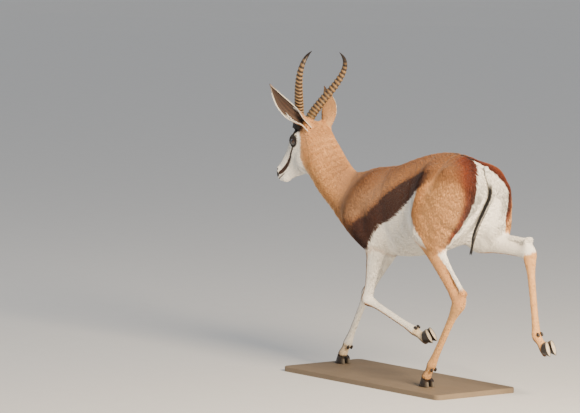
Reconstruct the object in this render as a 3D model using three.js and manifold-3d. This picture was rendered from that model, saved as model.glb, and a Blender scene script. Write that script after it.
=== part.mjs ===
// A springbok ram at a trot, life size, with two hooves set on a thin display base.
// Millimetres. +x runs from head to tail, +y to the animal's right, +z up; z = 0 is the ground.
// The flesh is one smooth field of tubes and ovals, parted into nodes by thin flat cuts.
import * as THREE from "three";
import { mergeVertices } from "three/addons/utils/BufferGeometryUtils.js";
import Module from "manifold-3d";

const wasm = await Module();
wasm.setup();

// Driving dimensions
const GAP = 0.3; // clearance that touching nodes keep
const LEFT = -1;
const RIGHT = 1;
const HIND = { hipX: 274, hipY: 65, femur: 210, tibia: 284, cannon: 278, foot: 99 };
const FORE = { humerus: 162, forearm: 200, cannon: 220, foot: 92 };
const STANCE_PITCH = -36; // lean of the foot bones when the sole lies flat
// How far the hoof of each raised foot folds back about its crown
const RAISED_FLEX = { right_hind: 31, left_fore: 22 };
const HAMSTRING = { [LEFT]: 0.25, [RIGHT]: 0.38 }; // where it meets the shank, from the stifle
const BASE = { length: 940, width: 340, thick: 18, corner: 24, centre: [-170, -5], bevel: 2 };

// Pose: pitch is degrees from straight down, positive towards the tail; splay is outwards.
const POSE = {
  left_hind: { femur: [-44, 13], tibia: [34, -7], cannon: [-34, 0], foot: [-37, -2] },
  right_hind: { femur: [-27, 8], tibia: [85, 0], cannon: [10, -1], foot: [39, 8] },
  left_fore: { humerus: [60, 2.5], forearm: [-11, 3.5], cannon: [62.5, -18], foot: [58, -20] },
  right_fore: { humerus: [-5, 3], forearm: [-29, -9], cannon: [-30, -2], foot: [-33.5, -3] },
};
const SHOULDER = { left: [-322, -79, 552], right: [-325, 76, 595] };

// Head: its frame has f to the nose, l to the animal's left and d up, from between the eyes.
const HEAD = { at: [-602, -114, 805], yaw: 14, pitch: 34, roll: 6 };
const EYE = { f: 0, l: 33, d: 0, radius: 17 };
const HORN = {
  curve: [[-37, 25, 50], [-88, 23, 104], [-231, 177, 156], [-259, 70, 214]],
  base: 17.5,
  ring: 1.15,
  rings: 16,
  stations: 36,
  sides: 8,
};
const EARS = {
  left_ear: {
    root: [-88, 48, 22],
    reach: [11, 87, 163],
    open: [-0.35, 0.9, -0.3],
    bow: [11, 7, -5],
  },
  right_ear: {
    root: [-92, -52, 12],
    reach: [4, -76, 168],
    open: [0.55, -0.72, 0.33],
    bow: [-8, -9, -4],
  },
};
const EAR_THICK = 2.6;

// Feet: crown is a point of the coronet plane, ahead of and above the toe's tip
const PLANTED = ["left_hind", "right_fore"];
const HOOF = {
  length: 55,
  height: 36,
  width: 19,
  cleft: 1.2,
  ahead: 3,
  crown: [-24, 30],
  crownSlope: 0.45,
};

// Tail: its centre line from the rump to the last hairs
const TAIL = {
  path: [
    [350, 0, 760],
    [380, -8, 724],
    [388, -13, 684],
    [376, -24, 642],
    [354, -30, 602],
    [334, -33, 566],
    [318, -33, 533],
    [306, -33, 496],
  ],
  locks: 11,
  seat: 15,
};

// Small vector helpers on plain arrays
const add = (a, b, k = 1) => [a[0] + k * b[0], a[1] + k * b[1], a[2] + k * b[2]];
const sub = (a, b) => add(a, b, -1);
const scale = (a, k) => [a[0] * k, a[1] * k, a[2] * k];
const dot = (a, b) => a[0] * b[0] + a[1] * b[1] + a[2] * b[2];
const cross = (a, b) => [
  a[1] * b[2] - a[2] * b[1],
  a[2] * b[0] - a[0] * b[2],
  a[0] * b[1] - a[1] * b[0],
];
const size = (a) => Math.sqrt(dot(a, a));
const unit = (a) => scale(a, 1 / (size(a) || 1));
const mix = (a, b, t) => add(scale(a, 1 - t), b, t);
const blend = (a, b, t) => a + (b - a) * t;
const clamp = (v, lo, hi) => Math.min(hi, Math.max(lo, v));
const rad = THREE.MathUtils.degToRad;
const across = (d, side) => unit(sub(side, scale(d, dot(side, d))));

// A Catmull-Rom value between b and c, for numbers or points
function spline(a, b, c, e, t) {
  if (Array.isArray(b)) return b.map((_, i) => spline(a[i], b[i], c[i], e[i], t));
  return (
    0.5 *
    (2 * b + (c - a) * t + (2 * a - 5 * b + 4 * c - e) * t * t + (3 * b - a - 3 * c + e) * t * t * t)
  );
}

// Refines a list of stations, each a number, a point or an object of them
function refine(stations, steps) {
  const at = (i) => stations[clamp(i, 0, stations.length - 1)];
  const out = [];
  for (let i = 0; i < stations.length - 1; i++)
    for (let j = 0; j < steps; j++) {
      const [a, b, c, e] = [at(i - 1), at(i), at(i + 1), at(i + 2)];
      const t = j / steps;
      out.push(
        Array.isArray(b)
          ? spline(a, b, c, e, t)
          : Object.fromEntries(Object.keys(b).map((k) => [k, spline(a[k], b[k], c[k], e[k], t)])),
      );
    }
  out.push(stations.at(-1));
  return out;
}

// The field: tubes of oval section and free ovals, joined by a smooth minimum
function smoothMin(a, b, k) {
  const h = Math.max(k - Math.abs(a - b), 0) / k;
  return Math.min(a, b) - (h * h * k) / 4;
}

// Distance to an ellipsoid of radii r, near its surface, for a local point q
function ovalDistance(q, r) {
  const k0 = Math.hypot(q[0] / r[0], q[1] / r[1], q[2] / r[2]);
  const k1 = Math.hypot(q[0] / r[0] ** 2, q[1] / r[1] ** 2, q[2] / r[2] ** 2);
  return k1 < 1e-9 ? -Math.min(...r) : (k0 * (k0 - 1)) / k1;
}

// Stations hold p, the half-width a along side, the half-depth b across it, and pear e
function tube(stations, side, steps = 3) {
  const fine = refine(
    stations.map((s) => ({ p: s.p, a: s.a, b: s.b, e: s.e ?? 0 })),
    steps,
  );
  return fine.slice(1).map((to, i) => {
    const from = fine[i];
    const d = unit(sub(to.p, from.p));
    const s = across(d, side);
    const length = size(sub(to.p, from.p));
    const reach = Math.max(from.a, from.b, to.a, to.b);
    const ends = { first: i === 0, last: i === fine.length - 2 };
    return {
      from,
      to,
      d,
      s,
      u: cross(d, s),
      length,
      ends,
      centre: mix(from.p, to.p, 0.5),
      radius: length / 2 + reach * 1.35,
    };
  });
}

function tubeDistance(g, q) {
  const away = sub(q, g.from.p);
  const along = dot(away, g.d);
  const t = clamp(along / g.length, 0, 1);
  const r = add(away, g.d, -t * g.length);
  const a = blend(g.from.a, g.to.a, t);
  const b = blend(g.from.b, g.to.b, t);
  const z = dot(r, g.u);
  const pear = 1 + blend(g.from.e, g.to.e, t) * clamp(z / b, -1, 1);
  return ovalDistance([dot(r, g.s) / pear, z, along - t * g.length], [a, b, Math.min(a, b)]);
}

// An oval with radii r along the axes x, y and z of its own frame
function oval(centre, r, x = [1, 0, 0], y = [0, 1, 0]) {
  const side = across(unit(x), y);
  return { centre, r, axes: [unit(x), side, cross(unit(x), side)], radius: Math.max(...r) };
}

function ovalAt(g, q) {
  const away = sub(q, g.centre);
  return ovalDistance(
    g.axes.map((axis) => dot(away, axis)),
    g.r,
  );
}

// A form is a list of pieces joined inside by `inner` and to what came before by `outer`
const form = (pieces, outer, inner = 1) => ({ pieces: pieces.flat(), outer, inner });

function fieldOf(forms) {
  return (q) => {
    let all = Infinity;
    for (const f of forms) {
      let one = Infinity;
      for (const g of f.pieces) {
        if (size(sub(q, g.centre)) - g.radius > Math.min(one, all) + f.outer) continue;
        const d = g.axes ? ovalAt(g, q) : tubeDistance(g, q);
        one = one === Infinity ? d : smoothMin(one, d, f.inner);
      }
      if (one !== Infinity) all = all === Infinity ? one : smoothMin(all, one, f.outer);
    }
    return all;
  };
}

// Leg joints from the bone lengths and the pose
function boneVector(length, [pitch, splay], side) {
  const out = Math.sin(rad(splay)) * length * side;
  const down = Math.cos(rad(splay)) * length;
  return [down * Math.sin(rad(pitch)), out, -down * Math.cos(rad(pitch))];
}

function chain(start, bones, lengths, side) {
  const joints = [start];
  for (const [name, angles] of Object.entries(bones))
    joints.push(add(joints.at(-1), boneVector(lengths[name], angles, side)));
  return joints;
}

const drop = (bones, lengths) => -chain([0, 0, 0], bones, lengths, 1).at(-1)[2];
const hipZ = drop(POSE.left_hind, HIND);
SHOULDER.right[2] = drop(POSE.right_fore, FORE);

const joints = {
  left_hind: chain([HIND.hipX, -HIND.hipY, hipZ], POSE.left_hind, HIND, LEFT),
  right_hind: chain([HIND.hipX, HIND.hipY, hipZ], POSE.right_hind, HIND, RIGHT),
  left_fore: chain(SHOULDER.left, POSE.left_fore, FORE, LEFT),
  right_fore: chain(SHOULDER.right, POSE.right_fore, FORE, RIGHT),
};

// Trunk: x, top, bottom and half-width of upright sections, and the sideways bend y
const TRUNK = [
  [-408, 632, 520, 36, -22],
  [-372, 674, 476, 66, -16],
  [-310, 710, 446, 86, -8],
  [-225, 736, 430, 99, -2],
  [-120, 752, 428, 112, 0],
  [0, 786, 446, 118, 0],
  [100, 809, 474, 112, 0],
  [180, 815, 512, 102, 0],
  [250, 803, 556, 90, 0],
  [300, 778, 602, 72, 0],
  [326, 758, 640, 50, 0],
];
const trunk = tube(
  TRUNK.map(([x, top, bottom, a, y]) => ({
    p: [x, y, (top + bottom) / 2],
    a,
    b: (top - bottom) / 2,
    e: -0.1,
  })),
  [0, 1, 0],
);

// Neck: centre line with half-width and half-depth
const NECK = [
  { p: [-285, -4, 598], a: 72, b: 104 },
  { p: [-350, -14, 598], a: 70, b: 97 },
  { p: [-420, -36, 622], a: 67, b: 90 },
  { p: [-455, -58, 664], a: 71, b: 88 },
  { p: [-479, -80, 713], a: 70, b: 88 },
  { p: [-500, -94, 766], a: 65, b: 81 },
  { p: [-518, -100, 812], a: 51, b: 65 },
];
const neckSide = unit([0.25, 0.97, 0]);
const neck = tube(NECK, neckSide);

// Head frame
const headTurn = (() => {
  const [yaw, pitch, roll] = [HEAD.yaw, HEAD.pitch, HEAD.roll].map(rad);
  const ahead = [-Math.cos(yaw), -Math.sin(yaw), 0];
  const left = [Math.sin(yaw), -Math.cos(yaw), 0];
  const f = add(scale(ahead, Math.cos(pitch)), [0, 0, 1], -Math.sin(pitch));
  const up = add(scale(ahead, Math.sin(pitch)), [0, 0, 1], Math.cos(pitch));
  const l = add(scale(left, Math.cos(roll)), up, Math.sin(roll));
  return { f, l, d: add(scale(up, Math.cos(roll)), left, -Math.sin(roll)) };
})();
const headDirection = (f, l, d) =>
  add(add(scale(headTurn.f, f), headTurn.l, l), headTurn.d, d);
const headPoint = (f, l, d) => add(HEAD.at, headDirection(f, l, d));

// Skull and muzzle: f, top, bottom, half-width and pear of sections across the face
const FACE = [
  [-96, 30, -50, 27, 0],
  [-74, 45, -88, 41, 0.05],
  [-42, 53, -113, 45, 0.1],
  [-12, 50, -122, 43, 0.16],
  [20, 37, -119, 36, 0.16],
  [52, 18, -109, 26, 0.06],
  [84, 2, -98, 20.5, 0],
  [112, -10, -91, 18, 0],
  [134, -20, -86, 16.5, -0.04],
  [149, -32, -77, 13.5, 0],
];
const headForms = [
  form(
    [
      tube(
        FACE.map(([f, top, bottom, a, e]) => ({
          p: headPoint(f, 0, (top + bottom) / 2),
          a,
          b: (top - bottom) / 2,
          e: -e,
        })),
        headTurn.l,
      ),
    ],
    30,
  ),
  ...[1, -1].map((l) =>
    form(
      [
        oval(headPoint(-2, 31 * l, 5), [26, 17, 22], headTurn.f, headTurn.l), // orbit
        oval(headPoint(-33, 23 * l, 47), [21, 17, 15], headTurn.f, headTurn.l), // horn seat
        oval(headPoint(-10, 28 * l, -80), [38, 14, 34], headTurn.f, headTurn.l), // jaw muscle
        oval(headPoint(-84, 38 * l, 14), [19, 16, 20], headTurn.f, headTurn.l), // ear root
      ],
      16,
    ),
  ),
  form(
    [
      oval(headPoint(136, 0, -38), [17, 18, 16], headTurn.f, headTurn.l), // nose pad
      oval(headPoint(125, 0, -77), [18, 14, 13], headTurn.f, headTurn.l), // chin
    ],
    10,
  ),
];

// Limb forms
const between = (a, b, t, off = [0, 0, 0]) => add(mix(a, b, t), off);
const station = (p, a, b) => ({ p, a, b });

function hindForms([hip, stifle, hock, fetlock, toe], side) {
  const s = [0, 1, 0];
  const shin = unit(sub(hock, stifle));
  const rear = cross(shin, across(shin, s));
  const heel = add(add(hock, shin, -12), rear, 45);
  const ischium = [332, 56 * side, hip[2] + 4];
  const flank = [150, 66 * side, hip[2] + 48];
  const seat = add(between(stifle, hock, HAMSTRING[side]), rear, 40);
  const coronet = mix(fetlock, toe, 0.84);
  return {
    upper: [
      form(
        [
          tube(
            [
              station(flank, 36, 46),
              station(mix(flank, stifle, 0.55), 42, 58),
              station(stifle, 34, 40),
            ],
            s,
          ),
          tube(
            [
              station(add(hip, [-6, 0, 40]), 44, 70),
              station(add(mix(hip, stifle, 0.5), [28, 0, 6]), 48, 84),
              station(between(stifle, hock, 0.05, scale(rear, 14)), 34, 50),
            ],
            s,
          ),
          tube(
            [
              station(ischium, 38, 42),
              station(add(mix(ischium, seat, 0.55), [-12, 0, 0]), 38, 44),
              station(seat, 26, 30),
            ],
            s,
          ),
        ],
        46,
        30,
      ),
    ],
    lower: [
      form(
        [
          tube(
            [
              station(stifle, 33, 40),
              station(add(between(stifle, hock, 0.2), rear, 11), 29, 44),
              station(add(between(stifle, hock, 0.42), rear, 8), 22, 34),
              station(add(between(stifle, hock, 0.64), rear, 4), 17, 24),
              station(add(between(stifle, hock, 0.84), rear, 4), 16, 21),
              station(add(add(hock, shin, -2), rear, 6), 19, 27),
              station(add(between(hock, fetlock, 0.1), rear, 6), 17, 22),
              station(add(between(hock, fetlock, 0.28), rear, 2), 11, 13.5),
              station(between(hock, fetlock, 0.7), 10, 11.5),
              station(between(hock, fetlock, 0.9), 11.5, 13.5),
              station(fetlock, 14, 16),
              station(mix(fetlock, toe, 0.26), 11.5, 12.5),
              station(mix(fetlock, toe, 0.54), 15, 15),
              station(coronet, 15.5, 15.5),
            ],
            s,
            4,
          ),
          tube(
            [
              station(hock, 15, 18),
              station(mix(hock, heel, 0.6), 12, 15),
              station(heel, 10.5, 12),
            ],
            s,
          ),
          tube(
            [
              station(add(between(stifle, hock, 0.3), rear, 38), 13, 17),
              station(add(between(stifle, hock, 0.6), rear, 39), 7, 9),
              station(heel, 8, 9),
            ],
            s,
          ),
        ],
        22,
        12,
      ),
    ],
    coronet,
  };
}

function foreForms([shoulder, elbow, carpus, fetlock, toe], side) {
  const s = [0, 1, 0];
  const arm = unit(sub(carpus, elbow));
  const rear = cross(arm, across(arm, s));
  const blade = [-218, 50 * side, 690];
  const point = add(elbow, add(scale(rear, 24), scale(arm, -18)));
  const coronet = mix(fetlock, toe, 0.84);
  return {
    upper: [
      form(
        [
          tube(
            [
              station(blade, 26, 34),
              station(mix(blade, shoulder, 0.5), 35, 54),
              station(shoulder, 33, 42),
            ],
            s,
          ),
          tube(
            [
              station(shoulder, 33, 42),
              station(mix(shoulder, elbow, 0.5), 35, 46),
              station(elbow, 29, 38),
            ],
            s,
          ),
          tube(
            [
              station(add(mix(blade, shoulder, 0.35), [44, 6 * side, -26]), 26, 44),
              station(add(mix(blade, elbow, 0.72), [12, 0, 0]), 31, 42),
              station(point, 17, 20),
            ],
            s,
          ),
        ],
        40,
        26,
      ),
    ],
    lower: [
      form(
        [
          tube(
            [
              station(elbow, 29, 39),
              station(add(between(elbow, carpus, 0.16), rear, 2), 28, 37),
              station(add(between(elbow, carpus, 0.4), rear, 2), 22.5, 28),
              station(add(between(elbow, carpus, 0.68), rear, 2), 17, 20),
              station(between(elbow, carpus, 0.88), 16, 18),
              station(carpus, 18, 20.5),
              station(between(carpus, fetlock, 0.1), 14, 15.5),
              station(between(carpus, fetlock, 0.25), 10, 11.5),
              station(between(carpus, fetlock, 0.75), 9.5, 11),
              station(between(carpus, fetlock, 0.9), 11, 13),
              station(fetlock, 13.5, 15.5),
              station(mix(fetlock, toe, 0.26), 11.5, 12.5),
              station(mix(fetlock, toe, 0.54), 15, 15),
              station(coronet, 15.5, 15.5),
            ],
            s,
            4,
          ),
          tube([station(elbow, 17, 20), station(point, 12, 13)], s),
        ],
        20,
        12,
      ),
    ],
    coronet,
  };
}

const legs = {
  left_hind: hindForms(joints.left_hind, LEFT),
  right_hind: hindForms(joints.right_hind, RIGHT),
  left_fore: foreForms(joints.left_fore, LEFT),
  right_fore: foreForms(joints.right_fore, RIGHT),
};

const bodyForms = [
  form([trunk], 1),
  form([neck], 60),
  ...headForms,
  ...Object.values(legs).flatMap((leg) => leg.upper),
];
const wholeField = fieldOf([...bodyForms, ...Object.values(legs).flatMap((leg) => leg.lower)]);
const neckField = fieldOf(bodyForms);
const headField = fieldOf([form([neck], 1), ...headForms]);

// Geometry helpers
function geometryOf(points, triangles) {
  const g = new THREE.BufferGeometry();
  g.setAttribute("position", new THREE.Float32BufferAttribute(points.flat(), 3));
  g.setIndex(triangles.flat());
  return g;
}

function solidOf(geometry) {
  const g = geometry.clone();
  g.deleteAttribute("normal");
  g.deleteAttribute("uv");
  const merged = mergeVertices(g, 1e-4);
  return new wasm.Manifold(
    new wasm.Mesh({
      numProp: 3,
      vertProperties: merged.attributes.position.array,
      triVerts: new Uint32Array(merged.index.array),
    }),
  );
}

function meshOf(solid) {
  const m = solid.getMesh();
  const g = new THREE.BufferGeometry();
  const points = new Float32Array(m.numVert * 3);
  for (let i = 0; i < m.numVert; i++)
    points.set(m.vertProperties.subarray(i * m.numProp, i * m.numProp + 3), i * 3);
  g.setAttribute("position", new THREE.BufferAttribute(points, 3));
  g.setIndex(new THREE.BufferAttribute(new Uint32Array(m.triVerts), 1));
  return g;
}

const largest = (solid) => solid.decompose().sort((a, b) => b.volume() - a.volume())[0];

// A block whose face lies on the plane through p, on the side that n points to
const BLOCK = 3000;
function blockBeyond(p, n, gap = GAP / 2) {
  const d = unit(n);
  const g = new THREE.BoxGeometry(BLOCK, BLOCK, BLOCK);
  const turn = new THREE.Quaternion().setFromUnitVectors(
    new THREE.Vector3(0, 0, 1),
    new THREE.Vector3(...d),
  );
  g.applyQuaternion(turn);
  g.translate(...add(p, d, BLOCK / 2 + gap));
  return solidOf(g);
}
const keep = (solid, p, n) => solid.intersect(blockBeyond(p, n));

// Surface nets: one vertex in each cell that the surface crosses, drawn onto the field's zero.
// The cells lie in a frame of their own, which place turns into the animal's.
function net(field, low, high, cell, place = (q) => q) {
  const n = low.map((v, i) => Math.ceil((high[i] - v) / cell) + 1);
  const at = (i, j, k) => (k * n[1] + j) * n[0] + i;
  const value = new Float32Array(n[0] * n[1] * n[2]);
  for (let k = 0; k < n[2]; k++)
    for (let j = 0; j < n[1]; j++)
      for (let i = 0; i < n[0]; i++) {
        const rim = !i || !j || !k || i === n[0] - 1 || j === n[1] - 1 || k === n[2] - 1;
        const q = [low[0] + i * cell, low[1] + j * cell, low[2] + k * cell];
        const f = field(place(q));
        value[at(i, j, k)] = rim ? Math.max(f, 0.5 * cell) : f;
      }
  fillChecks(value, n, at);
  const index = new Int32Array(value.length).fill(-1);
  const points = [];
  const corners = [0, 1, 2, 3, 4, 5, 6, 7].map((c) => [c & 1, (c >> 1) & 1, (c >> 2) & 1]);
  const edges = corners.flatMap((a, x) =>
    corners
      .map((b, y) => [x, y])
      .filter(([p, q]) => q > p && [1, 2, 4].includes(p ^ q)),
  );
  for (let k = 0; k < n[2] - 1; k++)
    for (let j = 0; j < n[1] - 1; j++)
      for (let i = 0; i < n[0] - 1; i++) {
        const v = corners.map((c) => value[at(i + c[0], j + c[1], k + c[2])]);
        if (v.every((x) => x < 0) || v.every((x) => x >= 0)) continue;
        let sum = [0, 0, 0];
        let count = 0;
        for (const [a, b] of edges) {
          if (v[a] < 0 === v[b] < 0) continue;
          sum = add(sum, mix(corners[a], corners[b], v[a] / (v[a] - v[b])));
          count++;
        }
        const local = scale(sum, 1 / count);
        index[at(i, j, k)] = points.length;
        points.push(low.map((v0, axis) => v0 + ([i, j, k][axis] + local[axis]) * cell));
      }
  const triangles = [];
  const quad = (a, b, c, d, flip) => {
    const short = size(sub(points[a], points[c])) < size(sub(points[b], points[d]));
    const tris = short ? [[a, b, c], [a, c, d]] : [[a, b, d], [b, c, d]];
    triangles.push(...tris.map((t) => (flip ? [t[0], t[2], t[1]] : t)));
  };
  for (let k = 0; k < n[2] - 1; k++)
    for (let j = 0; j < n[1] - 1; j++)
      for (let i = 0; i < n[0] - 1; i++) {
        const inside = value[at(i, j, k)] < 0;
        const cells = (u, w) => [
          index[at(i, j, k)],
          index[at(i - u[0], j - u[1], k - u[2])],
          index[at(i - u[0] - w[0], j - u[1] - w[1], k - u[2] - w[2])],
          index[at(i - w[0], j - w[1], k - w[2])],
        ];
        const pairs = [
          [[1, 0, 0], [0, 1, 0], [0, 0, 1]],
          [[0, 1, 0], [0, 0, 1], [1, 0, 0]],
          [[0, 0, 1], [1, 0, 0], [0, 1, 0]],
        ];
        for (const [step, u, w] of pairs) {
          if (dot(u, [i, j, k]) * dot(w, [i, j, k]) === 0) continue;
          const next = value[at(i + step[0], j + step[1], k + step[2])] < 0;
          if (inside !== next) quad(...cells(u, w), next);
        }
      }
  return orient(
    points.map((p) => settle(field, place(p), cell)),
    triangles,
  );
}

// Fills a corner of each grid face whose signs alternate, so that every edge joins two faces
function fillChecks(value, n, at) {
  const planes = [
    [[1, 0, 0], [0, 1, 0]],
    [[0, 1, 0], [0, 0, 1]],
    [[0, 0, 1], [1, 0, 0]],
  ];
  let changed = true;
  while (changed) {
    changed = false;
    for (let k = 0; k < n[2] - 1; k++)
      for (let j = 0; j < n[1] - 1; j++)
        for (let i = 0; i < n[0] - 1; i++)
          for (const [u, w] of planes) {
            const a = at(i, j, k);
            const b = at(i + u[0], j + u[1], k + u[2]);
            const c = at(i + u[0] + w[0], j + u[1] + w[1], k + u[2] + w[2]);
            const d = at(i + w[0], j + w[1], k + w[2]);
            const [sa, sb, sc, sd] = [a, b, c, d].map((x) => value[x] < 0);
            if (sa !== sc || sb !== sd || sa === sb) continue;
            const [x, y] = sa ? [b, d] : [a, c];
            value[value[x] < value[y] ? x : y] = -0.05;
            changed = true;
          }
  }
}

// Moves a point onto the surface along the slope of the field, by at most a third of a cell
function settle(field, p, cell) {
  let q = p;
  const h = 0.5;
  for (let pass = 0; pass < 3; pass++) {
    const f = field(q);
    const slope = [0, 1, 2].map((i) => {
      const e = [0, 0, 0];
      e[i] = h;
      return (field(add(q, e)) - field(sub(q, e))) / (2 * h);
    });
    const move = scale(slope, -f / Math.max(dot(slope, slope), 0.05));
    q = add(q, move, Math.min(1, cell / 3 / (size(move) || 1)));
  }
  return q;
}

// Rings of rays from a centre line out to the field's zero, closed by flat fans
function sweep(field, stations, side, angles, reach) {
  const points = [];
  stations.forEach((c, i) => {
    const d = unit(sub(stations[Math.min(i + 1, stations.length - 1)], stations[Math.max(i - 1, 0)]));
    const s = across(d, side);
    const u = cross(d, s);
    for (const angle of angles) {
      const ray = add(scale(s, Math.cos(angle)), u, Math.sin(angle));
      let [inner, outer] = [0, reach];
      const step = 1.5;
      for (let r = reach; r > 0; r -= step)
        if (field(add(c, ray, r)) < 0) {
          [inner, outer] = [r, Math.min(reach, r + step)];
          break;
        }
      for (let pass = 0; pass < 12; pass++) {
        const r = (inner + outer) / 2;
        if (field(add(c, ray, r)) < 0) inner = r;
        else outer = r;
      }
      points.push(add(c, ray, inner));
    }
  });
  return { points, rings: stations.length, sides: angles.length, ends: [stations[0], stations.at(-1)] };
}

function lattice({ points, rings, sides, ends }) {
  const at = (i, j) => i * sides + (j % sides);
  const triangles = [];
  for (let i = 0; i < rings - 1; i++)
    for (let j = 0; j < sides; j++) {
      const [a, b, c, d] = [at(i, j), at(i, j + 1), at(i + 1, j + 1), at(i + 1, j)];
      const short = size(sub(points[a], points[c])) < size(sub(points[b], points[d]));
      triangles.push(...(short ? [[a, b, c], [a, c, d]] : [[a, b, d], [b, c, d]]));
    }
  const all = [...points, ...ends];
  for (let j = 0; j < sides; j++) {
    triangles.push([points.length, at(0, j + 1), at(0, j)]);
    triangles.push([points.length + 1, at(rings - 1, j), at(rings - 1, j + 1)]);
  }
  return orient(all, triangles);
}

// Turns a closed mesh so that its volume is positive
function orient(points, triangles) {
  const volume = triangles.reduce(
    (v, [a, b, c]) => v + dot(points[a], cross(points[b], points[c])),
    0,
  );
  return geometryOf(points, volume < 0 ? triangles.map(([a, b, c]) => [a, c, b]) : triangles);
}

const turns = (n) => Array.from({ length: n }, (_, i) => (i / n) * 2 * Math.PI);
function pathThrough(points, spacing) {
  const curve = new THREE.CatmullRomCurve3(
    points.map((p) => new THREE.Vector3(...p)),
    false,
    "centripetal",
  );
  const n = Math.max(2, Math.round(curve.getLength() / spacing));
  return curve.getSpacedPoints(n).map((v) => v.toArray());
}

// Materials, one for each finish
const material = (color, roughness = 0.85) =>
  new THREE.MeshStandardMaterial({ color, roughness, metalness: 0 });
const coat = {
  tan: material(0xb9824a),
  white: material(0xeae4d8),
  legs: material(0xc69a63),
  horn: material(0x3a2e24, 0.55),
  hoof: material(0x2a2522, 0.5),
  eye: material(0x120c08, 0.08),
  base: material(0x6b5a48, 0.6),
};

const part = new THREE.Group();
function node(name, geometry, finish) {
  const mesh = new THREE.Mesh(geometry, finish);
  mesh.name = name;
  part.add(mesh);
  return mesh;
}

// A round plug beyond a cut, that clears the seat of a horn, an ear or the tail
function plug({ p, n }, radius, long, gap) {
  const g = new THREE.CylinderGeometry(radius, radius, long, 16);
  const turn = new THREE.Quaternion().setFromUnitVectors(
    new THREE.Vector3(0, 1, 0),
    new THREE.Vector3(...n),
  );
  g.applyQuaternion(turn);
  g.translate(...add(p, n, long / 2 + gap));
  return solidOf(g);
}

// Trunk with its shoulders and haunches, parted by wedges of flat cuts
const tailCut = { p: TAIL.path[0], n: unit(sub(TAIL.path[1], TAIL.path[0])) };
const TRUNK_CELL = 27;
const neckCut = { p: [-388, -20, 616], n: unit([-0.93, -0.25, 0.28]) };
const body = net(wholeField, [-500, -200, 350], [470, 200, 850], TRUNK_CELL);
const bodySolid = largest(solidOf(body));

// Cut planes across a leg: below its upper part, at the knee or hock, and at the fetlock
const legCut = (leg, from, t) => {
  const [a, b] = joints[leg].slice(from, from + 2);
  return { p: mix(a, b, t), n: unit(sub(b, a)) };
};
const CUT_AT = { hind: [0.24, 0.86, 0.9], fore: [0.3, 0.88, 0.9] };
const legCuts = (leg) => {
  const [top, knee, ankle] = CUT_AT[leg.slice(-4)];
  return [legCut(leg, 1, top), legCut(leg, 1, knee), legCut(leg, 2, ankle)];
};

// The wedge of space that holds a limb's upper part: an outer plane and its bounds along x
function wedge(side, lean, y, z, bounds) {
  const out = [0, Math.sin(rad(lean)) * side, -Math.cos(rad(lean))];
  return (gap) =>
    bounds.reduce(
      (room, [p, n]) => room.intersect(blockBeyond(p, n, gap)),
      blockBeyond([0, y * side, z], out, gap),
    );
}
const WEDGES = {
  hind: (side) => wedge(side, 68, 42, 520, [[[64, 0, 640], [1, 0, 0.18]]]),
  fore: (side) =>
    wedge(side, 70, 50, 470, [
      [[-128, 0, 560], [-1, 0, 0.16]],
      [[-382, 0, 560], [1, 0, 0.05]],
    ]),
};

// A box beyond a leg's cut, wide enough for the leg alone
const LIMB_BOX = { wide: 76, long: 230 };
function limbBox({ p, n }, gap) {
  const g = new THREE.BoxGeometry(2 * LIMB_BOX.wide, 2 * LIMB_BOX.wide, LIMB_BOX.long);
  const turn = new THREE.Quaternion().setFromUnitVectors(
    new THREE.Vector3(0, 0, 1),
    new THREE.Vector3(...n),
  );
  g.applyQuaternion(turn);
  g.translate(...add(p, n, LIMB_BOX.long / 2 + gap));
  return solidOf(g);
}

const isHind = (leg) => leg.endsWith("hind");
const sideOf = (leg) => (leg.startsWith("left") ? LEFT : RIGHT);
let trunkSolid = bodySolid;
for (const leg of Object.keys(joints)) {
  const room = WEDGES[leg.slice(-4)](sideOf(leg));
  const below = limbBox(legCuts(leg)[0], -GAP / 2);
  const upper = bodySolid
    .intersect(room(GAP / 2))
    .subtract(below)
    .subtract(blockBeyond(neckCut.p, neckCut.n, -GAP / 2));
  node(`${leg}_${isHind(leg) ? "haunch" : "shoulder"}`, meshOf(largest(upper)), coat.tan);
  trunkSolid = trunkSolid.subtract(room(-GAP / 2)).subtract(below);
}
trunkSolid = trunkSolid
  .subtract(blockBeyond(neckCut.p, neckCut.n, -GAP / 2))
  .subtract(plug(tailCut, TAIL.seat, 60, -GAP / 2));
node("torso", meshOf(largest(trunkSolid)), coat.tan);

// Neck, from the trunk cut to the throat cut
const headCut = { p: headPoint(8, 0, -136), n: unit(headDirection(0.67, 0, 0.74)) };
const neckPath = [[-350, -12, 606], ...NECK.slice(2).map((s) => s.p), headPoint(-64, 0, -14)];
const neckRaw = solidOf(
  lattice(sweep(neckField, pathThrough(neckPath, 22), neckSide, turns(22), 150)),
);
const neckSolid = keep(neckRaw, neckCut.p, neckCut.n);
node(
  "neck",
  meshOf(largest(neckSolid.subtract(blockBeyond(headCut.p, headCut.n, -GAP / 2)))),
  coat.tan,
);

// Foot frame: forward along the sole, up from it, and to the animal's right
function footFrame(leg) {
  const [, , , fetlock, toe] = joints[leg];
  if (PLANTED.includes(leg)) return { toe, forward: [-1, 0, 0], up: [0, 0, 1], right: [0, 1, 0] };
  const bone = unit(sub(toe, fetlock));
  const right = across(bone, [0, 1, 0]);
  const heelward = cross(bone, right);
  const turned = (lean) => {
    const [c, s] = [Math.cos(rad(lean)), Math.sin(rad(lean))];
    return { forward: add(scale(bone, -s), heelward, -c), up: add(scale(bone, -c), heelward, s) };
  };
  const toCrown = ({ forward, up }) => add(scale(forward, HOOF.crown[0]), up, HOOF.crown[1]);
  const folded = turned(STANCE_PITCH - RAISED_FLEX[leg]);
  const shift = sub(toCrown(turned(STANCE_PITCH)), toCrown(folded));
  return { toe: add(toe, shift), ...folded, right };
}
const footPoint = (frame, x, y, z) =>
  add(add(add(frame.toe, frame.forward, x), frame.right, y), frame.up, z);
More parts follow.
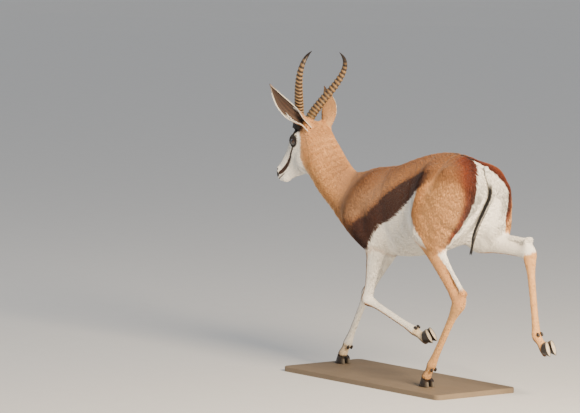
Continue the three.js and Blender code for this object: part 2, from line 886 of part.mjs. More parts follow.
const coronetCut = (frame) => ({
  p: footPoint(frame, HOOF.crown[0], 0, HOOF.crown[1]),
  n: unit(add(scale(frame.up, -1), frame.forward, HOOF.crownSlope)),
});

// Lower legs
const LEG_SIDES = 10;
const LEG_STEP = 21;
for (const leg of Object.keys(joints)) {
  const [, upper, middle, fetlock] = joints[leg];
  const { upper: above, lower, coronet } = legs[leg];
  const half = (a, b) => mix(a, b, 0.5);
  const path = [upper, half(upper, middle), middle, half(middle, fetlock), fetlock, coronet];
  const field = fieldOf([...above, ...lower]);
  const reach = LIMB_BOX.wide - GAP;
  const rays = sweep(field, pathThrough(path, LEG_STEP), [0, 1, 0], turns(LEG_SIDES), reach);
  const whole = solidOf(lattice(rays));
  const [top, knee, ankle] = legCuts(leg);
  const crown = coronetCut(footFrame(leg));
  const length = (a, b) => {
    const solid = keep(whole, a.p, a.n).subtract(blockBeyond(b.p, b.n, -GAP / 2));
    return meshOf(largest(solid));
  };
  node(`${leg}_${isHind(leg) ? "gaskin" : "forearm"}`, length(top, knee), coat.legs);
  node(`${leg}_cannon`, length(knee, ankle), coat.legs);
  node(`${leg}_pastern`, length(ankle, crown), coat.legs);
}

// Cloven hooves: each claw is a stack of pointed loops from the sole to the crown
const CLAW_POINTS = 10;
function claw(frame, side) {
  const points = [];
  const levels = [0, 0.12, 0.45, 0.8, 1.15];
  const { length, height, width, cleft, ahead } = HOOF;
  for (const t of levels) {
    const front = ahead - length * 0.32 * t - 5 * Math.min(t, 0.12);
    const back = ahead - length + 4 * t;
    const grow = t === 0 ? 0.93 : 1 - 0.12 * t;
    for (const angle of turns(CLAW_POINTS)) {
      const [c, s] = [Math.cos(angle), Math.sin(angle)];
      const taper = 1 - 0.5 * Math.max(0, c) ** 2.2;
      const flat = s * side > 0 ? 1.12 : 0.8;
      const x = (front + back) / 2 + ((front - back) / 2) * c;
      const y = (cleft + width / 2) * side + ((width / 2) * grow * s * taper * flat);
      const spread = side * 0.045 * (x + length - ahead);
      points.push(footPoint(frame, x, y + spread, GAP / 2 + height * t));
    }
  }
  const ends = [0, 4].map((i) => {
    const loop = points.slice(i * CLAW_POINTS, (i + 1) * CLAW_POINTS);
    return scale(loop.reduce((a, b) => add(a, b)), 1 / CLAW_POINTS);
  });
  return solidOf(lattice({ points, rings: levels.length, sides: CLAW_POINTS, ends }));
}
for (const leg of Object.keys(joints)) {
  const frame = footFrame(leg);
  const crown = coronetCut(frame);
  for (const side of [LEFT, RIGHT]) {
    const solid = keep(claw(frame, side), crown.p, crown.n);
    const name = `${leg}_claw_${side === sideOf(leg) ? "outer" : "inner"}`;
    node(name, meshOf(largest(solid)), coat.hoof);
  }
}

// A closed tube along a path, whose radii are given for each station as [wide, deep]
function swept(path, side, radii, sides) {
  const points = [];
  path.forEach((c, i) => {
    const d = unit(sub(path[Math.min(i + 1, path.length - 1)], path[Math.max(i - 1, 0)]));
    const s = across(d, side);
    const u = cross(d, s);
    const [a, b] = radii(i / (path.length - 1), i);
    for (const angle of turns(sides))
      points.push(add(add(c, s, a * Math.cos(angle)), u, b * Math.sin(angle)));
  });
  return { points, rings: path.length, sides, ends: [path[0], path.at(-1)] };
}

// Horns: a bent cone with rings, from a face on the skull
function hornPath(l) {
  const curve = new THREE.CubicBezierCurve3(
    ...HORN.curve.map(([f, side, d]) => new THREE.Vector3(...headPoint(f, side * l, d))),
  );
  return curve.getSpacedPoints(HORN.stations).map((v) => v.toArray());
}
function hornRadius(t) {
  const taper = HORN.base * (1 - 0.32 * t - 0.5 * t ** 3.2) * (1 - Math.max(0, t - 0.9) ** 1.5 * 22);
  const ringed = clamp((0.78 - t) / 0.12, 0, 1) * clamp(t / 0.03, 0, 1);
  const wave = Math.cos(2 * Math.PI * HORN.rings * t ** 0.86);
  return Math.max(1.4, taper + ringed * HORN.ring * wave);
}
const hornCut = (l) => {
  const path = hornPath(l);
  return { p: path[0], n: unit(sub(path[2], path[0])) };
};
for (const [name, l] of [["left_horn", 1], ["right_horn", -1]]) {
  const path = hornPath(l);
  const rise = sub(path[1], path[0]);
  const full = [add(path[0], rise, -0.6), ...path];
  const radii = (t, i) => {
    const r = hornRadius(Math.max(0, i - 1) / HORN.stations);
    return [r * 0.88, r * 1.08];
  };
  const cut = hornCut(l);
  const raw = solidOf(lattice(swept(full, headTurn.l, radii, HORN.sides)));
  node(name, meshOf(largest(keep(raw, cut.p, cut.n))), coat.horn);
}

// Ears: thin cups, curled at the root and pointed at the tip
function earFrame(name) {
  const ear = EARS[name];
  const root = headPoint(...ear.root);
  const d = unit(headDirection(...ear.reach));
  const open = across(d, headDirection(...ear.open));
  const bow = headDirection(...ear.bow);
  return { root, d, open, bow, side: cross(d, open), length: size(ear.reach) };
}
const earWidth = (t) => 16 + 12 * Math.sin(Math.PI * Math.min(1, t * 1.05) ** 0.9) - 14.5 * t ** 2.6;
const earDepth = (t) => 15 * (1 - t) ** 0.8 + 5;
function earPoint(frame, t, v, thick) {
  const wide = Math.max(1.2, earWidth(t));
  const deep = earDepth(t) * Math.min(1, wide / 12);
  const curl = blend(2.6, 1.3, THREE.MathUtils.smoothstep(t, 0, 0.5));
  const angle = v * curl;
  const y = ((wide - thick) * Math.sin(angle * 0.98)) / Math.sin(Math.min(curl, Math.PI / 2));
  const z = -(deep - thick) * Math.cos(angle);
  const line = add(add(frame.root, frame.d, frame.length * t), frame.bow, Math.sin(Math.PI * t));
  return add(add(line, frame.side, y), frame.open, z + deep * 0.4 * t);
}
const EAR_ROWS = 10;
const EAR_COLUMNS = 8;
function earShell(frame) {
  const points = [];
  for (let i = 0; i <= EAR_ROWS; i++) {
    const t = (i / EAR_ROWS) ** 0.95;
    for (let j = 0; j <= EAR_COLUMNS; j++)
      points.push(earPoint(frame, t, (2 * j) / EAR_COLUMNS - 1, 0));
    for (let j = EAR_COLUMNS; j >= 0; j--)
      points.push(earPoint(frame, t, (2 * j) / EAR_COLUMNS - 1, EAR_THICK));
  }
  const sides = 2 * (EAR_COLUMNS + 1);
  return { points, rings: EAR_ROWS + 1, sides };
}
// The strip of quads round a shell, with both faces split alike and both ends closed
function shellSolid({ points, rings, sides }) {
  const at = (i, j) => i * sides + (j % sides);
  const triangles = [];
  for (let i = 0; i < rings - 1; i++)
    for (let j = 0; j < sides; j++) {
      const [a, b, c, d] = [at(i, j), at(i, j + 1), at(i + 1, j + 1), at(i + 1, j)];
      triangles.push(...(j < sides / 2 ? [[a, b, c], [a, c, d]] : [[a, b, d], [b, c, d]]));
    }
  for (const [i, flip] of [[0, true], [rings - 1, false]])
    for (let j = 0; j < sides / 2 - 1; j++) {
      const [a, b, c, d] = [at(i, j), at(i, j + 1), at(i, sides - 2 - j), at(i, sides - 1 - j)];
      const tris = [[a, b, c], [a, c, d]];
      triangles.push(...tris.map((t) => (flip ? [t[0], t[2], t[1]] : t)));
    }
  return orient(points, triangles);
}
for (const name of ["left_ear", "right_ear"])
  node(name, shellSolid(earShell(earFrame(name))), coat.tan);

// Eyes, with the lids as rims on the head
const ball = (centre, r, detail) => {
  const g = new THREE.IcosahedronGeometry(r, detail);
  g.translate(...centre);
  return solidOf(g);
};
const eyeAt = (l) => headPoint(EYE.f, EYE.l * l, EYE.d);
function lid(l, upper) {
  const axis = unit(headDirection(0.12, l, 0.06));
  const front = across(axis, headTurn.f);
  const up = cross(axis, front);
  const rise = dot(up, headTurn.d) > 0 ? 1 : -1;
  const path = Array.from({ length: 13 }, (_, i) => {
    const t = i / 12;
    const x = blend(-1, 1, t);
    const lift = (upper ? 0.56 : -0.5) * (1 - x * x) * rise + 0.08 * x;
    const out = Math.sqrt(Math.max(0.05, 1 - (0.84 * x) ** 2 - lift ** 2));
    const ray = unit(add(add(scale(axis, out), front, 0.84 * x), up, lift));
    return add(eyeAt(l), ray, EYE.radius + 1);
  });
  return solidOf(lattice(swept(path, axis, (t) => [1.2 + 2.2 * Math.sin(Math.PI * t), 3.4], 6)));
}

// Head, with the seats of horns and ears, the mouth line and the nostrils
const HEAD_CELL = 12.5;
const HEAD_BOX = { low: [-190, -81.25, -160], high: [178, 82, 95] };
const inHead = (q) => headPoint(...q);
const headNet = net(headField, HEAD_BOX.low, HEAD_BOX.high, HEAD_CELL, inHead);
const headRaw = largest(solidOf(headNet));
function mouthLine() {
  const centre = headPoint(100, 0, -66);
  const path = Array.from({ length: 21 }, (_, i) => {
    const angle = blend(-100, 100, i / 20);
    const ray = add(
      scale(headTurn.f, Math.cos(rad(angle))),
      headTurn.l,
      Math.sin(rad(angle)),
    );
    let r = 70;
    while (r > 5 && headField(add(centre, ray, r)) > 0) r -= 0.5;
    return add(centre, ray, r);
  });
  return solidOf(lattice(swept(path, headTurn.d, () => [1.3, 1.9], 4)));
}
function nostril(l) {
  const path = pathThrough(
    [headPoint(153, 4 * l, -36), headPoint(148, 11 * l, -32), headPoint(140, 17 * l, -35)],
    3,
  );
  return solidOf(lattice(swept(path, headTurn.d, () => [2, 3.2], 6)));
}
let head = keep(headRaw, headCut.p, headCut.n);
for (const l of [1, -1]) {
  head = head.add(lid(l, true)).add(lid(l, false));
  head = head.subtract(ball(eyeAt(l), EYE.radius + GAP, 2)).subtract(nostril(l));
  head = head.subtract(plug(hornCut(l), HORN.base * 1.3, 50, -GAP / 2));
  node(l > 0 ? "left_eye" : "right_eye", meshOf(ball(eyeAt(l), EYE.radius, 2)), coat.eye);
}
for (const name of ["left_ear", "right_ear"]) {
  const frame = earFrame(name);
  const stub = pathThrough([add(frame.root, frame.d, -34), add(frame.root, frame.d, 6)], 10);
  const radii = () => [earWidth(0) + 0.5, earDepth(0) + 0.5];
  const seat = solidOf(lattice(swept(stub, frame.side, radii, 14)));
  head = head.add(seat).subtract(plug({ p: frame.root, n: frame.d }, 30, 40, -GAP));
}
node("head", meshOf(largest(head.subtract(mouthLine()))), coat.white);

// Tail: a tube with tapered locks along its end
const tailStations = pathThrough(TAIL.path, 14);
const tailRadii = (t) => {
  const r = blend(9.5, 3.2, t ** 0.8);
  return [r * 1.25, r * 0.85];
};
let tail = solidOf(lattice(swept(tailStations, [0, 1, 0], tailRadii, 8)));
let seed = 7;
const random = () => {
  seed = (seed * 16807) % 2147483647;
  return seed / 2147483647;
};
for (let i = 0; i < TAIL.locks; i++) {
  const t = blend(0.3, 0.99, i / (TAIL.locks - 1));
  const k = Math.min(tailStations.length - 2, Math.floor(t * (tailStations.length - 1)));
  const d = unit(sub(tailStations[k + 1], tailStations[k]));
  const at = mix(tailStations[k], tailStations[k + 1], t * (tailStations.length - 1) - k);
  const angle = i * 2.4;
  const out = add(scale([0, 1, 0], Math.cos(angle)), cross(d, [0, 1, 0]), Math.sin(angle));
  const long = blend(46, 30, random());
  const path = [0, 0.3, 0.65, 1].map((s) =>
    add(add(at, d, -8 + long * s), out, 1 + 6.5 * Math.sin(s * 1.9)),
  );
  const radii = (s) => [blend(4.2, 0.5, s ** 1.3), blend(2.6, 0.4, s ** 1.3)];
  tail = tail.add(solidOf(lattice(swept(path, cross(d, out), radii, 4))));
}
node("tail", meshOf(largest(keep(tail, tailCut.p, tailCut.n))), coat.white);

// Base: a slab with round corners and a bevelled top edge
const CORNER_STEPS = 8;
function slab() {
  const { length, width, corner, bevel, thick, centre } = BASE;
  const loop = (inset) =>
    turns(4 * CORNER_STEPS).map((_, i) => {
      const r = corner - inset;
      const quarter = Math.floor(i / CORNER_STEPS);
      const turn = ((i % CORNER_STEPS) / (CORNER_STEPS - 1) + quarter) * (Math.PI / 2);
      const [qx, qy] = [[1, 1], [-1, 1], [-1, -1], [1, -1]][quarter];
      return [
        centre[0] + qx * (length / 2 - corner) + r * Math.cos(turn),
        centre[1] + qy * (width / 2 - corner) + r * Math.sin(turn),
      ];
    });
  const top = -GAP / 2;
  const levels = [[top - thick, 0], [top - bevel, 0], [top, bevel]];
  const points = levels.flatMap(([z, inset]) => loop(inset).map(([x, y]) => [x, y, z]));
  const ends = [[...centre, top - thick], [...centre, top]];
  return lattice({ points, rings: levels.length, sides: 4 * CORNER_STEPS, ends });
}
node("stand_base", slab(), coat.base);

// The part's own frame: centred on its box, resting on z = 0
part.updateMatrixWorld(true);
const box = new THREE.Box3().setFromObject(part);
part.position.set(-(box.min.x + box.max.x) / 2, -(box.min.y + box.max.y) / 2, -box.min.z);
part.updateMatrixWorld(true);
export default part;
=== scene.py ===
# %% [markdown]
# A springbok ram at a trot, as a life-size museum model on a thin base.
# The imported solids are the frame: they say where every part of the animal is.
# Everything that is soft is made again here as one smooth skin with a coat on it.
# Lengths in the tables are millimetres, measured from the ground under the hooves;
# x runs from the head to the tail, y to the animal's right and z up.

# %% Load the frame
from functools import reduce
import bpy
import bmesh
import numpy as np
from mathutils import Matrix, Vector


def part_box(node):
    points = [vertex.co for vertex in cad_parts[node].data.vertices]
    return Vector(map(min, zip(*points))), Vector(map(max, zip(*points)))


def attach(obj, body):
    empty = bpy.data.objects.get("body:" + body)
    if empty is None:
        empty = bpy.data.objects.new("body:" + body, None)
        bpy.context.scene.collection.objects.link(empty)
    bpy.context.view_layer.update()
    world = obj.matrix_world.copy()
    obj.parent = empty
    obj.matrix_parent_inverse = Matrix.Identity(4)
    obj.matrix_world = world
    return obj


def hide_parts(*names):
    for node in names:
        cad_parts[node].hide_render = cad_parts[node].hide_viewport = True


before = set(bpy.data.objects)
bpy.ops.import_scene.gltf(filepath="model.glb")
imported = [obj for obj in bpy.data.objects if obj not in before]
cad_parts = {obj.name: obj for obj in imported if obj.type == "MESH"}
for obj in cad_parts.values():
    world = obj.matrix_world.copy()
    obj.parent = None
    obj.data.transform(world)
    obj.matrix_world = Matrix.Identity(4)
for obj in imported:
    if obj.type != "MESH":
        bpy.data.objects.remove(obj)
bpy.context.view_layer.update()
rng = np.random.default_rng(1774)
BASE_CENTRE = np.array([-170.0, -5.0])
BASE_TOP = -0.15
base_low, base_high = (np.array(c) * 1000 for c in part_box("stand_base"))
SHIFT = np.append((base_low + base_high)[:2] / 2 - BASE_CENTRE, base_high[2] - BASE_TOP)
print("the animal is moved by", SHIFT.round(2), "mm")


def place(points):
    """Table millimetres become scene metres: add the shift, divide by a thousand."""
    return (np.asarray(points, float) + SHIFT) / 1000


# %% [markdown]
# A few vector helpers come first. They work on whole arrays, where the last axis
# holds x, y and z, so that one call handles one point or a hundred thousand.

# %% Vector helpers
LEFT, RIGHT = -1, 1
SIDEWAYS = np.array([0.0, 1.0, 0.0])


def vec(*values):
    return np.array(values, float)


def dot(a, b):
    return (a * b).sum(-1)


def unit(a):
    """a / |a|, and nothing at all for a vector of no length."""
    return a / np.maximum(np.linalg.norm(a, axis=-1, keepdims=True), 1e-9)


def across(d, side):
    """The part of side that is square to d, made one long."""
    return unit(side - d * dot(side, d)[..., None])


def rear_of(d):
    """Square to a bone's axis d, towards the rear of the leg."""
    return np.cross(d, across(d, SIDEWAYS))


def mix(a, b, t):
    return a + (b - a) * t


def rows_at(t, knots, rows):
    """The rows (x, y, z) that belong to the knots, read between them at t."""
    return np.stack([np.interp(t, knots, rows[:, i]) for i in range(3)], 1)


def smooth(lo, hi, v):
    """0 below lo, 1 above hi, and 3t^2 - 2t^3 between them."""
    t = np.clip((v - lo) / (hi - lo), 0, 1)
    return t * t * (3 - 2 * t)


def refine(rows, steps):
    """Catmull-Rom values between the rows: steps of them for each gap, and the last row."""
    rows = np.asarray(rows, float)
    padded = np.vstack([rows[:1], rows, rows[-1:]])
    t = np.linspace(0, 1, steps, endpoint=False)[None, :, None]
    a, b, c, e = (padded[i : len(rows) - 1 + i, None, :] for i in range(4))
    fine = 0.5 * (2 * b + (c - a) * t + (2 * a - 5 * b + 4 * c - e) * t**2
                  + (3 * b - a - 3 * c + e) * t**3)
    return np.vstack([fine.reshape(-1, rows.shape[1]), rows[-1:]])


# %% [markdown]
# The flesh is a field: a number for every point of space, negative inside the animal.
# It is made of short tapered tubes with an oval section, and a few free ovals.
# A smooth minimum melts neighbours together as muscle and skin do, so there is no seam.
# Metaballs would do the same, but they can't taper or be flattened along a bone.

# %% Pieces of the field
class Piece:
    """Rows of short tubes: start p, axis d, side s, up u, length, and at both ends the
    half-width a, the half-depth b and the pear shape e; c is the radius along the axis."""

    def __init__(self, p, d, s, length, a, b, e, c, lie):
        self.p, self.d, self.s, self.u = p, d, s, np.cross(d, s)
        self.length, self.a, self.b, self.e, self.c = length, a, b, e, c
        self.centre = p + d * length[:, None] / 2
        self.radius = length / 2 + np.maximum(a.max(1), np.maximum(b.max(1), c.max(1))) * 1.35
        self.lie = np.broadcast_to(lie, p.shape)


def tube(stations, side=SIDEWAYS, steps=3, lie=1.0):
    """A tube through stations (x, y, z, a, b, e), refined by Catmull-Rom.
    lie is +1 where the hair points along the tube, -1 where it points back."""
    rows = refine([tuple(r) + (0.0,) * (6 - len(r)) for r in stations], steps)
    start, end = rows[:-1], rows[1:]
    step = end[:, :3] - start[:, :3]
    d = unit(step)
    a, b, e = (np.stack([start[:, i], end[:, i]], 1) for i in (3, 4, 5))
    return Piece(start[:, :3], d, across(d, np.broadcast_to(side, d.shape)),
                 np.linalg.norm(step, axis=1), a, b, e, np.minimum(a, b), d * lie)


def oval(centre, radii, x=(1, 0, 0), y=(0, 1, 0), lie=None):
    """An ellipsoid with radii along the axes x, y and z of its own frame."""
    d = unit(vec(*x))[None]
    rx, ry, rz = radii
    two = lambda v: np.full((1, 2), float(v))
    hair = np.zeros(3) if lie is None else lie
    return Piece(vec(*centre)[None], d, across(d, vec(*y)[None]), np.zeros(1),
                 two(ry), two(rz), two(0), two(rx), hair)


def form(pieces, outer, inner=1.0, own=None, swell=0.0):
    """Pieces melted together over inner mm, and to what came before over outer mm. Where
    own is given, a tube's own steps melt over that, and its radii grow by swell."""
    keys = ["p", "d", "s", "u", "length", "a", "b", "e", "c", "centre", "radius", "lie"]
    joined = {k: np.concatenate([getattr(x, k) for x in pieces]) for k in keys}
    for key in ("a", "b"):
        joined[key] = joined[key] + swell
    joined["tube"] = np.repeat(np.arange(len(pieces)), [len(x.p) for x in pieces])
    return {**joined, "outer": outer, "inner": inner, "own": own}


def oval_distance(q, r):
    """k (k - 1) / g with k = |q / r| and g = |q / r^2|: the distance near the oval."""
    k = np.sqrt(sum((x / y) ** 2 for x, y in zip(q, r)))
    g = np.sqrt(sum((x / y**2) ** 2 for x, y in zip(q, r)))
    return k * (k - 1) / np.maximum(g, 1e-6)


def piece_distance(f, pick, q):
    """Distances of the points q to the picked pieces of a form, one row for each piece."""
    away = q[None] - f["p"][pick][:, None]
    along = dot(away, f["d"][pick][:, None])
    length = f["length"][pick][:, None]
    t = np.clip(along / np.maximum(length, 1e-6), 0, 1)
    end = lambda k: f[k][pick][:, :1] + (f[k][pick][:, 1:] - f[k][pick][:, :1]) * t
    a, b, e, c = end("a"), end("b"), end("e"), end("c")
    z = dot(away, f["u"][pick][:, None])
    pear = 1 + e * np.clip(z / b, -1, 1)
    y = dot(away, f["s"][pick][:, None]) / pear
    return oval_distance((y, z, along - t * length), (a, b, c))


def smooth_min(a, b, k):
    h = np.maximum(k - np.abs(a - b), 0) / k
    return np.minimum(a, b) - h * h * k / 4


FAR = 400.0  # the field where no piece is near
BIN = 60.0  # the edge of a cube of space
BIN_REACH = BIN * 0.87  # from a cube's centre to its corners
BINS = 500  # cubes from the tables' origin to the rim of the space that is numbered


def cubes(q):
    """The points sorted into cubes of space: for each cube that holds any, their numbers
    and the cube's centre."""
    if not len(q):
        return
    cell = np.floor(q / BIN).astype(np.int64)
    x, y, z = (cell + BINS).T
    key = (x * 2 * BINS + y) * 2 * BINS + z
    order = np.argsort(key, kind="stable")
    starts = np.flatnonzero(np.r_[True, np.diff(key[order]) > 0])
    for lo, hi in zip(starts, np.r_[starts[1:], len(q)]):
        pick = order[lo:hi]
        yield pick, (cell[pick[0]] + 0.5) * BIN


def pieces_near(f, centre, margin):
    """The pieces of a form that come within a margin of a cube."""
    gap = np.linalg.norm(f["centre"] - centre, axis=1) - f["radius"]
    return np.flatnonzero(gap < BIN_REACH + margin)


def field_of(forms, q):
    """The field at the points q. In each cube of space, only the pieces that reach it
    are worked out."""
    q = np.asarray(q, float)
    out = np.full(len(q), FAR)
    for pick, centre in cubes(q):
        out[pick] = cube_field(forms, q[pick], centre)
    return out


def cube_field(forms, q, centre):
    """The forms melted one after another, each over its own outer distance."""
    total = np.full(len(q), FAR)
    for f in forms:
        pick = pieces_near(f, centre, 70)
        if not len(pick):
            continue
        d = piece_distance(f, pick, q)
        if f["own"]:
            tubes = f["tube"][pick]
            d = [reduce(lambda a, b: smooth_min(a, b, f["own"]), d[tubes == k])
                 for k in np.unique(tubes)]
        one = d[0]
        for row in d[1:]:
            one = smooth_min(one, row, f["inner"])
        total = smooth_min(total, one, f["outer"])
    return total


# %% [markdown]
# The skeleton sets the pose. Each leg is a chain of bones that hang from the hip or the
# shoulder, and each bone is turned by a pitch, positive towards the tail, and a splay.
# The ram trots: the left fore and right hind feet are off the ground.

# %% Leg bones
HIND = {"hipX": 274, "hipY": 65, "femur": 210, "tibia": 284, "cannon": 278, "foot": 99}
FORE = {"humerus": 162, "forearm": 200, "cannon": 220, "foot": 92}
POSE = {
    "left_hind": {"femur": (-44, 13), "tibia": (34, -7), "cannon": (-34, 0), "foot": (-37, -2)},
    "right_hind": {"femur": (-27, 8), "tibia": (85, 0), "cannon": (10, -1), "foot": (39, 8)},
    "left_fore": {"humerus": (60, 2.5), "forearm": (-11, 3.5), "cannon": (62.5, -18),
                  "foot": (58, -20)},
    "right_fore": {"humerus": (-5, 3), "forearm": (-29, -9), "cannon": (-30, -2),
                   "foot": (-33.5, -3)},
}
HAMSTRING = {LEFT: 0.25, RIGHT: 0.38}
SIDE_OF = {leg: LEFT if leg.startswith("left") else RIGHT for leg in POSE}


def chain(start, bones, lengths, side):
    """Joint places: each bone adds length * (sin pitch, side * sin splay, -cos pitch)."""
    places = [np.asarray(start, float)]
    for name, angles in bones.items():
        pitch, splay = np.radians(angles)
        down = lengths[name] * np.cos(splay)
        places.append(places[-1] + vec(down * np.sin(pitch),
                                       lengths[name] * np.sin(splay) * side,
                                       -down * np.cos(pitch)))
    return places


hip_z = -chain(vec(0, 0, 0), POSE["left_hind"], HIND, 1)[-1][2]
right_shoulder_z = -chain(vec(0, 0, 0), POSE["right_fore"], FORE, 1)[-1][2]
JOINTS = {
    "left_hind": chain((HIND["hipX"], -HIND["hipY"], hip_z), POSE["left_hind"], HIND, LEFT),
    "right_hind": chain((HIND["hipX"], HIND["hipY"], hip_z), POSE["right_hind"], HIND, RIGHT),
    "left_fore": chain((-322, -79, 552), POSE["left_fore"], FORE, LEFT),
    "right_fore": chain((-325, 76, right_shoulder_z), POSE["right_fore"], FORE, RIGHT),
}
print("hip height", round(hip_z, 1), "mm")

# %% [markdown]
# Trunk, neck and head are tubes through upright sections. The head has a frame of its
# own: f to the nose, l to the animal's left and d up, from between the eyes.

# %% Trunk, neck and head
TRUNK = [(-408, 632, 520, 36, -22), (-372, 674, 476, 66, -16), (-310, 710, 446, 86, -8),
         (-225, 736, 430, 99, -2), (-120, 752, 428, 112, 0), (0, 786, 446, 118, 0),
         (100, 809, 474, 112, 0), (180, 815, 512, 102, 0), (250, 803, 556, 90, 0),
         (300, 778, 602, 72, 0), (326, 758, 640, 50, 0)]
trunk = tube([(x, y, (top + low) / 2, a, (top - low) / 2, -0.1) for x, top, low, a, y in TRUNK])

NECK = [(-285, -4, 598, 72, 104), (-350, -14, 598, 70, 97), (-420, -36, 622, 67, 90),
        (-455, -58, 664, 71, 88), (-479, -80, 713, 70, 88), (-500, -94, 766, 65, 81),
        (-518, -100, 812, 51, 65)]
neck = tube(NECK, unit(vec(0.25, 0.97, 0)), lie=-1.0)

HEAD = {"at": vec(-602, -114, 805), "yaw": 14, "pitch": 34, "roll": 6}


def head_axes():
    yaw, pitch, roll = np.radians([HEAD[k] for k in ("yaw", "pitch", "roll")])
    ahead = vec(-np.cos(yaw), -np.sin(yaw), 0)
    left = vec(np.sin(yaw), -np.cos(yaw), 0)
    f = ahead * np.cos(pitch) - vec(0, 0, 1) * np.sin(pitch)
    up = ahead * np.sin(pitch) + vec(0, 0, 1) * np.cos(pitch)
    return np.array([f, left * np.cos(roll) + up * np.sin(roll),
                     up * np.cos(roll) - left * np.sin(roll)])


HEAD_AXES = head_axes()
F, L, D = HEAD_AXES


def head_point(f, l, d):
    return HEAD["at"] + vec(f, l, d) @ HEAD_AXES


def in_head(points):
    """Points in the head's own f, l and d."""
    return (np.asarray(points, float) - HEAD["at"]) @ HEAD_AXES.T


FACE = [(-96, 30, -50, 27, 0), (-74, 45, -88, 41, 0.05), (-42, 53, -113, 45, 0.1),
        (-12, 50, -122, 43, 0.16), (20, 37, -119, 36, 0.16), (52, 18, -109, 26, 0.06),
        (84, 2, -98, 20.5, 0), (112, -10, -91, 18, 0), (134, -20, -86, 16.5, -0.04),
        (149, -32, -77, 13.5, 0)]
skull = tube([(*head_point(f, 0, (top + low) / 2), a, (top - low) / 2, -e)
              for f, top, low, a, e in FACE], L, lie=-1.0)
bump = lambda f, l, d, r: oval(head_point(f, l, d), r, F, L)
head_forms = [form([skull], 30)]
for l in (1, -1):
    head_forms.append(form([bump(-2, 31 * l, 5, (26, 17, 22)), bump(-33, 23 * l, 47, (21, 17, 15)),
                            bump(-10, 28 * l, -80, (38, 14, 34)),
                            bump(-84, 38 * l, 14, (19, 16, 20))], 16))
head_forms.append(form([bump(136, 0, -38, (17, 18, 16)), bump(125, 0, -77, (18, 14, 13))], 10))

# %% [markdown]
# A leg has two groups of forms. The upper group is muscle that melts widely into the
# trunk, and the lower group is bone and tendon, with the heel string behind the shank.

# %% Legs
def hind_forms(joints, side):
    hip, stifle, hock, fetlock, toe = joints
    shin = unit(hock - stifle)
    rear = rear_of(shin)
    heel = hock - shin * 12 + rear * 45
    ischium = vec(332, 56 * side, hip[2] + 4)
    flank = vec(150, 66 * side, hip[2] + 48)
    seat = mix(stifle, hock, HAMSTRING[side]) + rear * 40
    on_shank = lambda t, back=0.0: mix(stifle, hock, t) + rear * back
    on_cannon = lambda t, back=0.0: mix(hock, fetlock, t) + rear * back
    upper = form([
        tube([(*flank, 36, 46), (*mix(flank, stifle, 0.55), 42, 58), (*stifle, 34, 40)]),
        tube([(*(hip + vec(-6, 0, 40)), 44, 70),
              (*(mix(hip, stifle, 0.5) + vec(28, 0, 6)), 48, 84), (*on_shank(0.05, 14), 34, 50)]),
        tube([(*ischium, 38, 42), (*(mix(ischium, seat, 0.55) - vec(12, 0, 0)), 38, 44),
              (*seat, 26, 30)]),
    ], 46, 30)
    lower = form([
        tube([(*stifle, 33, 40), (*on_shank(0.2, 11), 29, 44), (*on_shank(0.42, 8), 22, 34),
              (*on_shank(0.64, 4), 17, 24), (*on_shank(0.84, 4), 16, 21),
              (*(hock - shin * 2 + rear * 6), 19, 27), (*on_cannon(0.1, 6), 17, 22),
              (*on_cannon(0.28, 2), 11, 13.5), (*on_cannon(0.7), 10, 11.5),
              (*on_cannon(0.9), 11.5, 13.5), (*fetlock, 14, 16),
              (*mix(fetlock, toe, 0.26), 11.5, 12.5),
              (*mix(fetlock, toe, 0.54), 15, 15), (*mix(fetlock, toe, 0.84), 15.5, 15.5)],
             steps=4),
        tube([(*hock, 15, 18), (*mix(hock, heel, 0.6), 12, 15), (*heel, 10.5, 12)]),
        tube([(*on_shank(0.3, 38), 13, 17), (*on_shank(0.6, 39), 7, 9), (*heel, 8, 9)]),
    ], 22, 12, own=2, swell=1.7)
    return upper, lower


def fore_forms(joints, side):
    shoulder, elbow, carpus, fetlock, toe = joints
    arm = unit(carpus - elbow)
    rear = rear_of(arm)
    blade = vec(-218, 50 * side, 690)
    point = elbow + rear * 24 - arm * 18
    on_arm = lambda t, back=0.0: mix(elbow, carpus, t) + rear * back
    on_cannon = lambda t: mix(carpus, fetlock, t)
    upper = form([
        tube([(*blade, 26, 34), (*mix(blade, shoulder, 0.5), 35, 54), (*shoulder, 33, 42)]),
        tube([(*shoulder, 33, 42), (*mix(shoulder, elbow, 0.5), 35, 46), (*elbow, 29, 38)]),
        tube([(*(mix(blade, shoulder, 0.35) + vec(44, 6 * side, -26)), 26, 44),
              (*(mix(blade, elbow, 0.72) + vec(12, 0, 0)), 31, 42), (*point, 17, 20)]),
    ], 40, 26)
    lower = form([
        tube([(*elbow, 29, 39), (*on_arm(0.16, 2), 28, 37), (*on_arm(0.4, 2), 22.5, 28),
              (*on_arm(0.68, 2), 17, 20), (*on_arm(0.88), 16, 18), (*carpus, 18, 20.5),
              (*on_cannon(0.1), 14, 15.5), (*on_cannon(0.25), 10, 11.5),
              (*on_cannon(0.75), 9.5, 11), (*on_cannon(0.9), 11, 13),
              (*fetlock, 13.5, 15.5), (*mix(fetlock, toe, 0.26), 11.5, 12.5),
              (*mix(fetlock, toe, 0.54), 15, 15), (*mix(fetlock, toe, 0.84), 15.5, 15.5)],
             steps=4),
        tube([(*elbow, 17, 20), (*point, 12, 13)]),
    ], 20, 12, own=2, swell=1.7)
    return upper, lower


leg_forms = {leg: (hind_forms if leg.endswith("hind") else fore_forms)(JOINTS[leg], SIDE_OF[leg])
             for leg in POSE}
BODY = [form([trunk], 1), form([neck], 60), *head_forms,
        *(upper for upper, _ in leg_forms.values()), *(lower for _, lower in leg_forms.values())]
print(sum(len(f["p"]) for f in BODY), "pieces in", len(BODY), "forms")

# %% [markdown]
# The coat is short: two or three millimetres on the body, less on the face and feet.
# The solids reach to the outer face of the coat, so the skin is drawn a little inside.

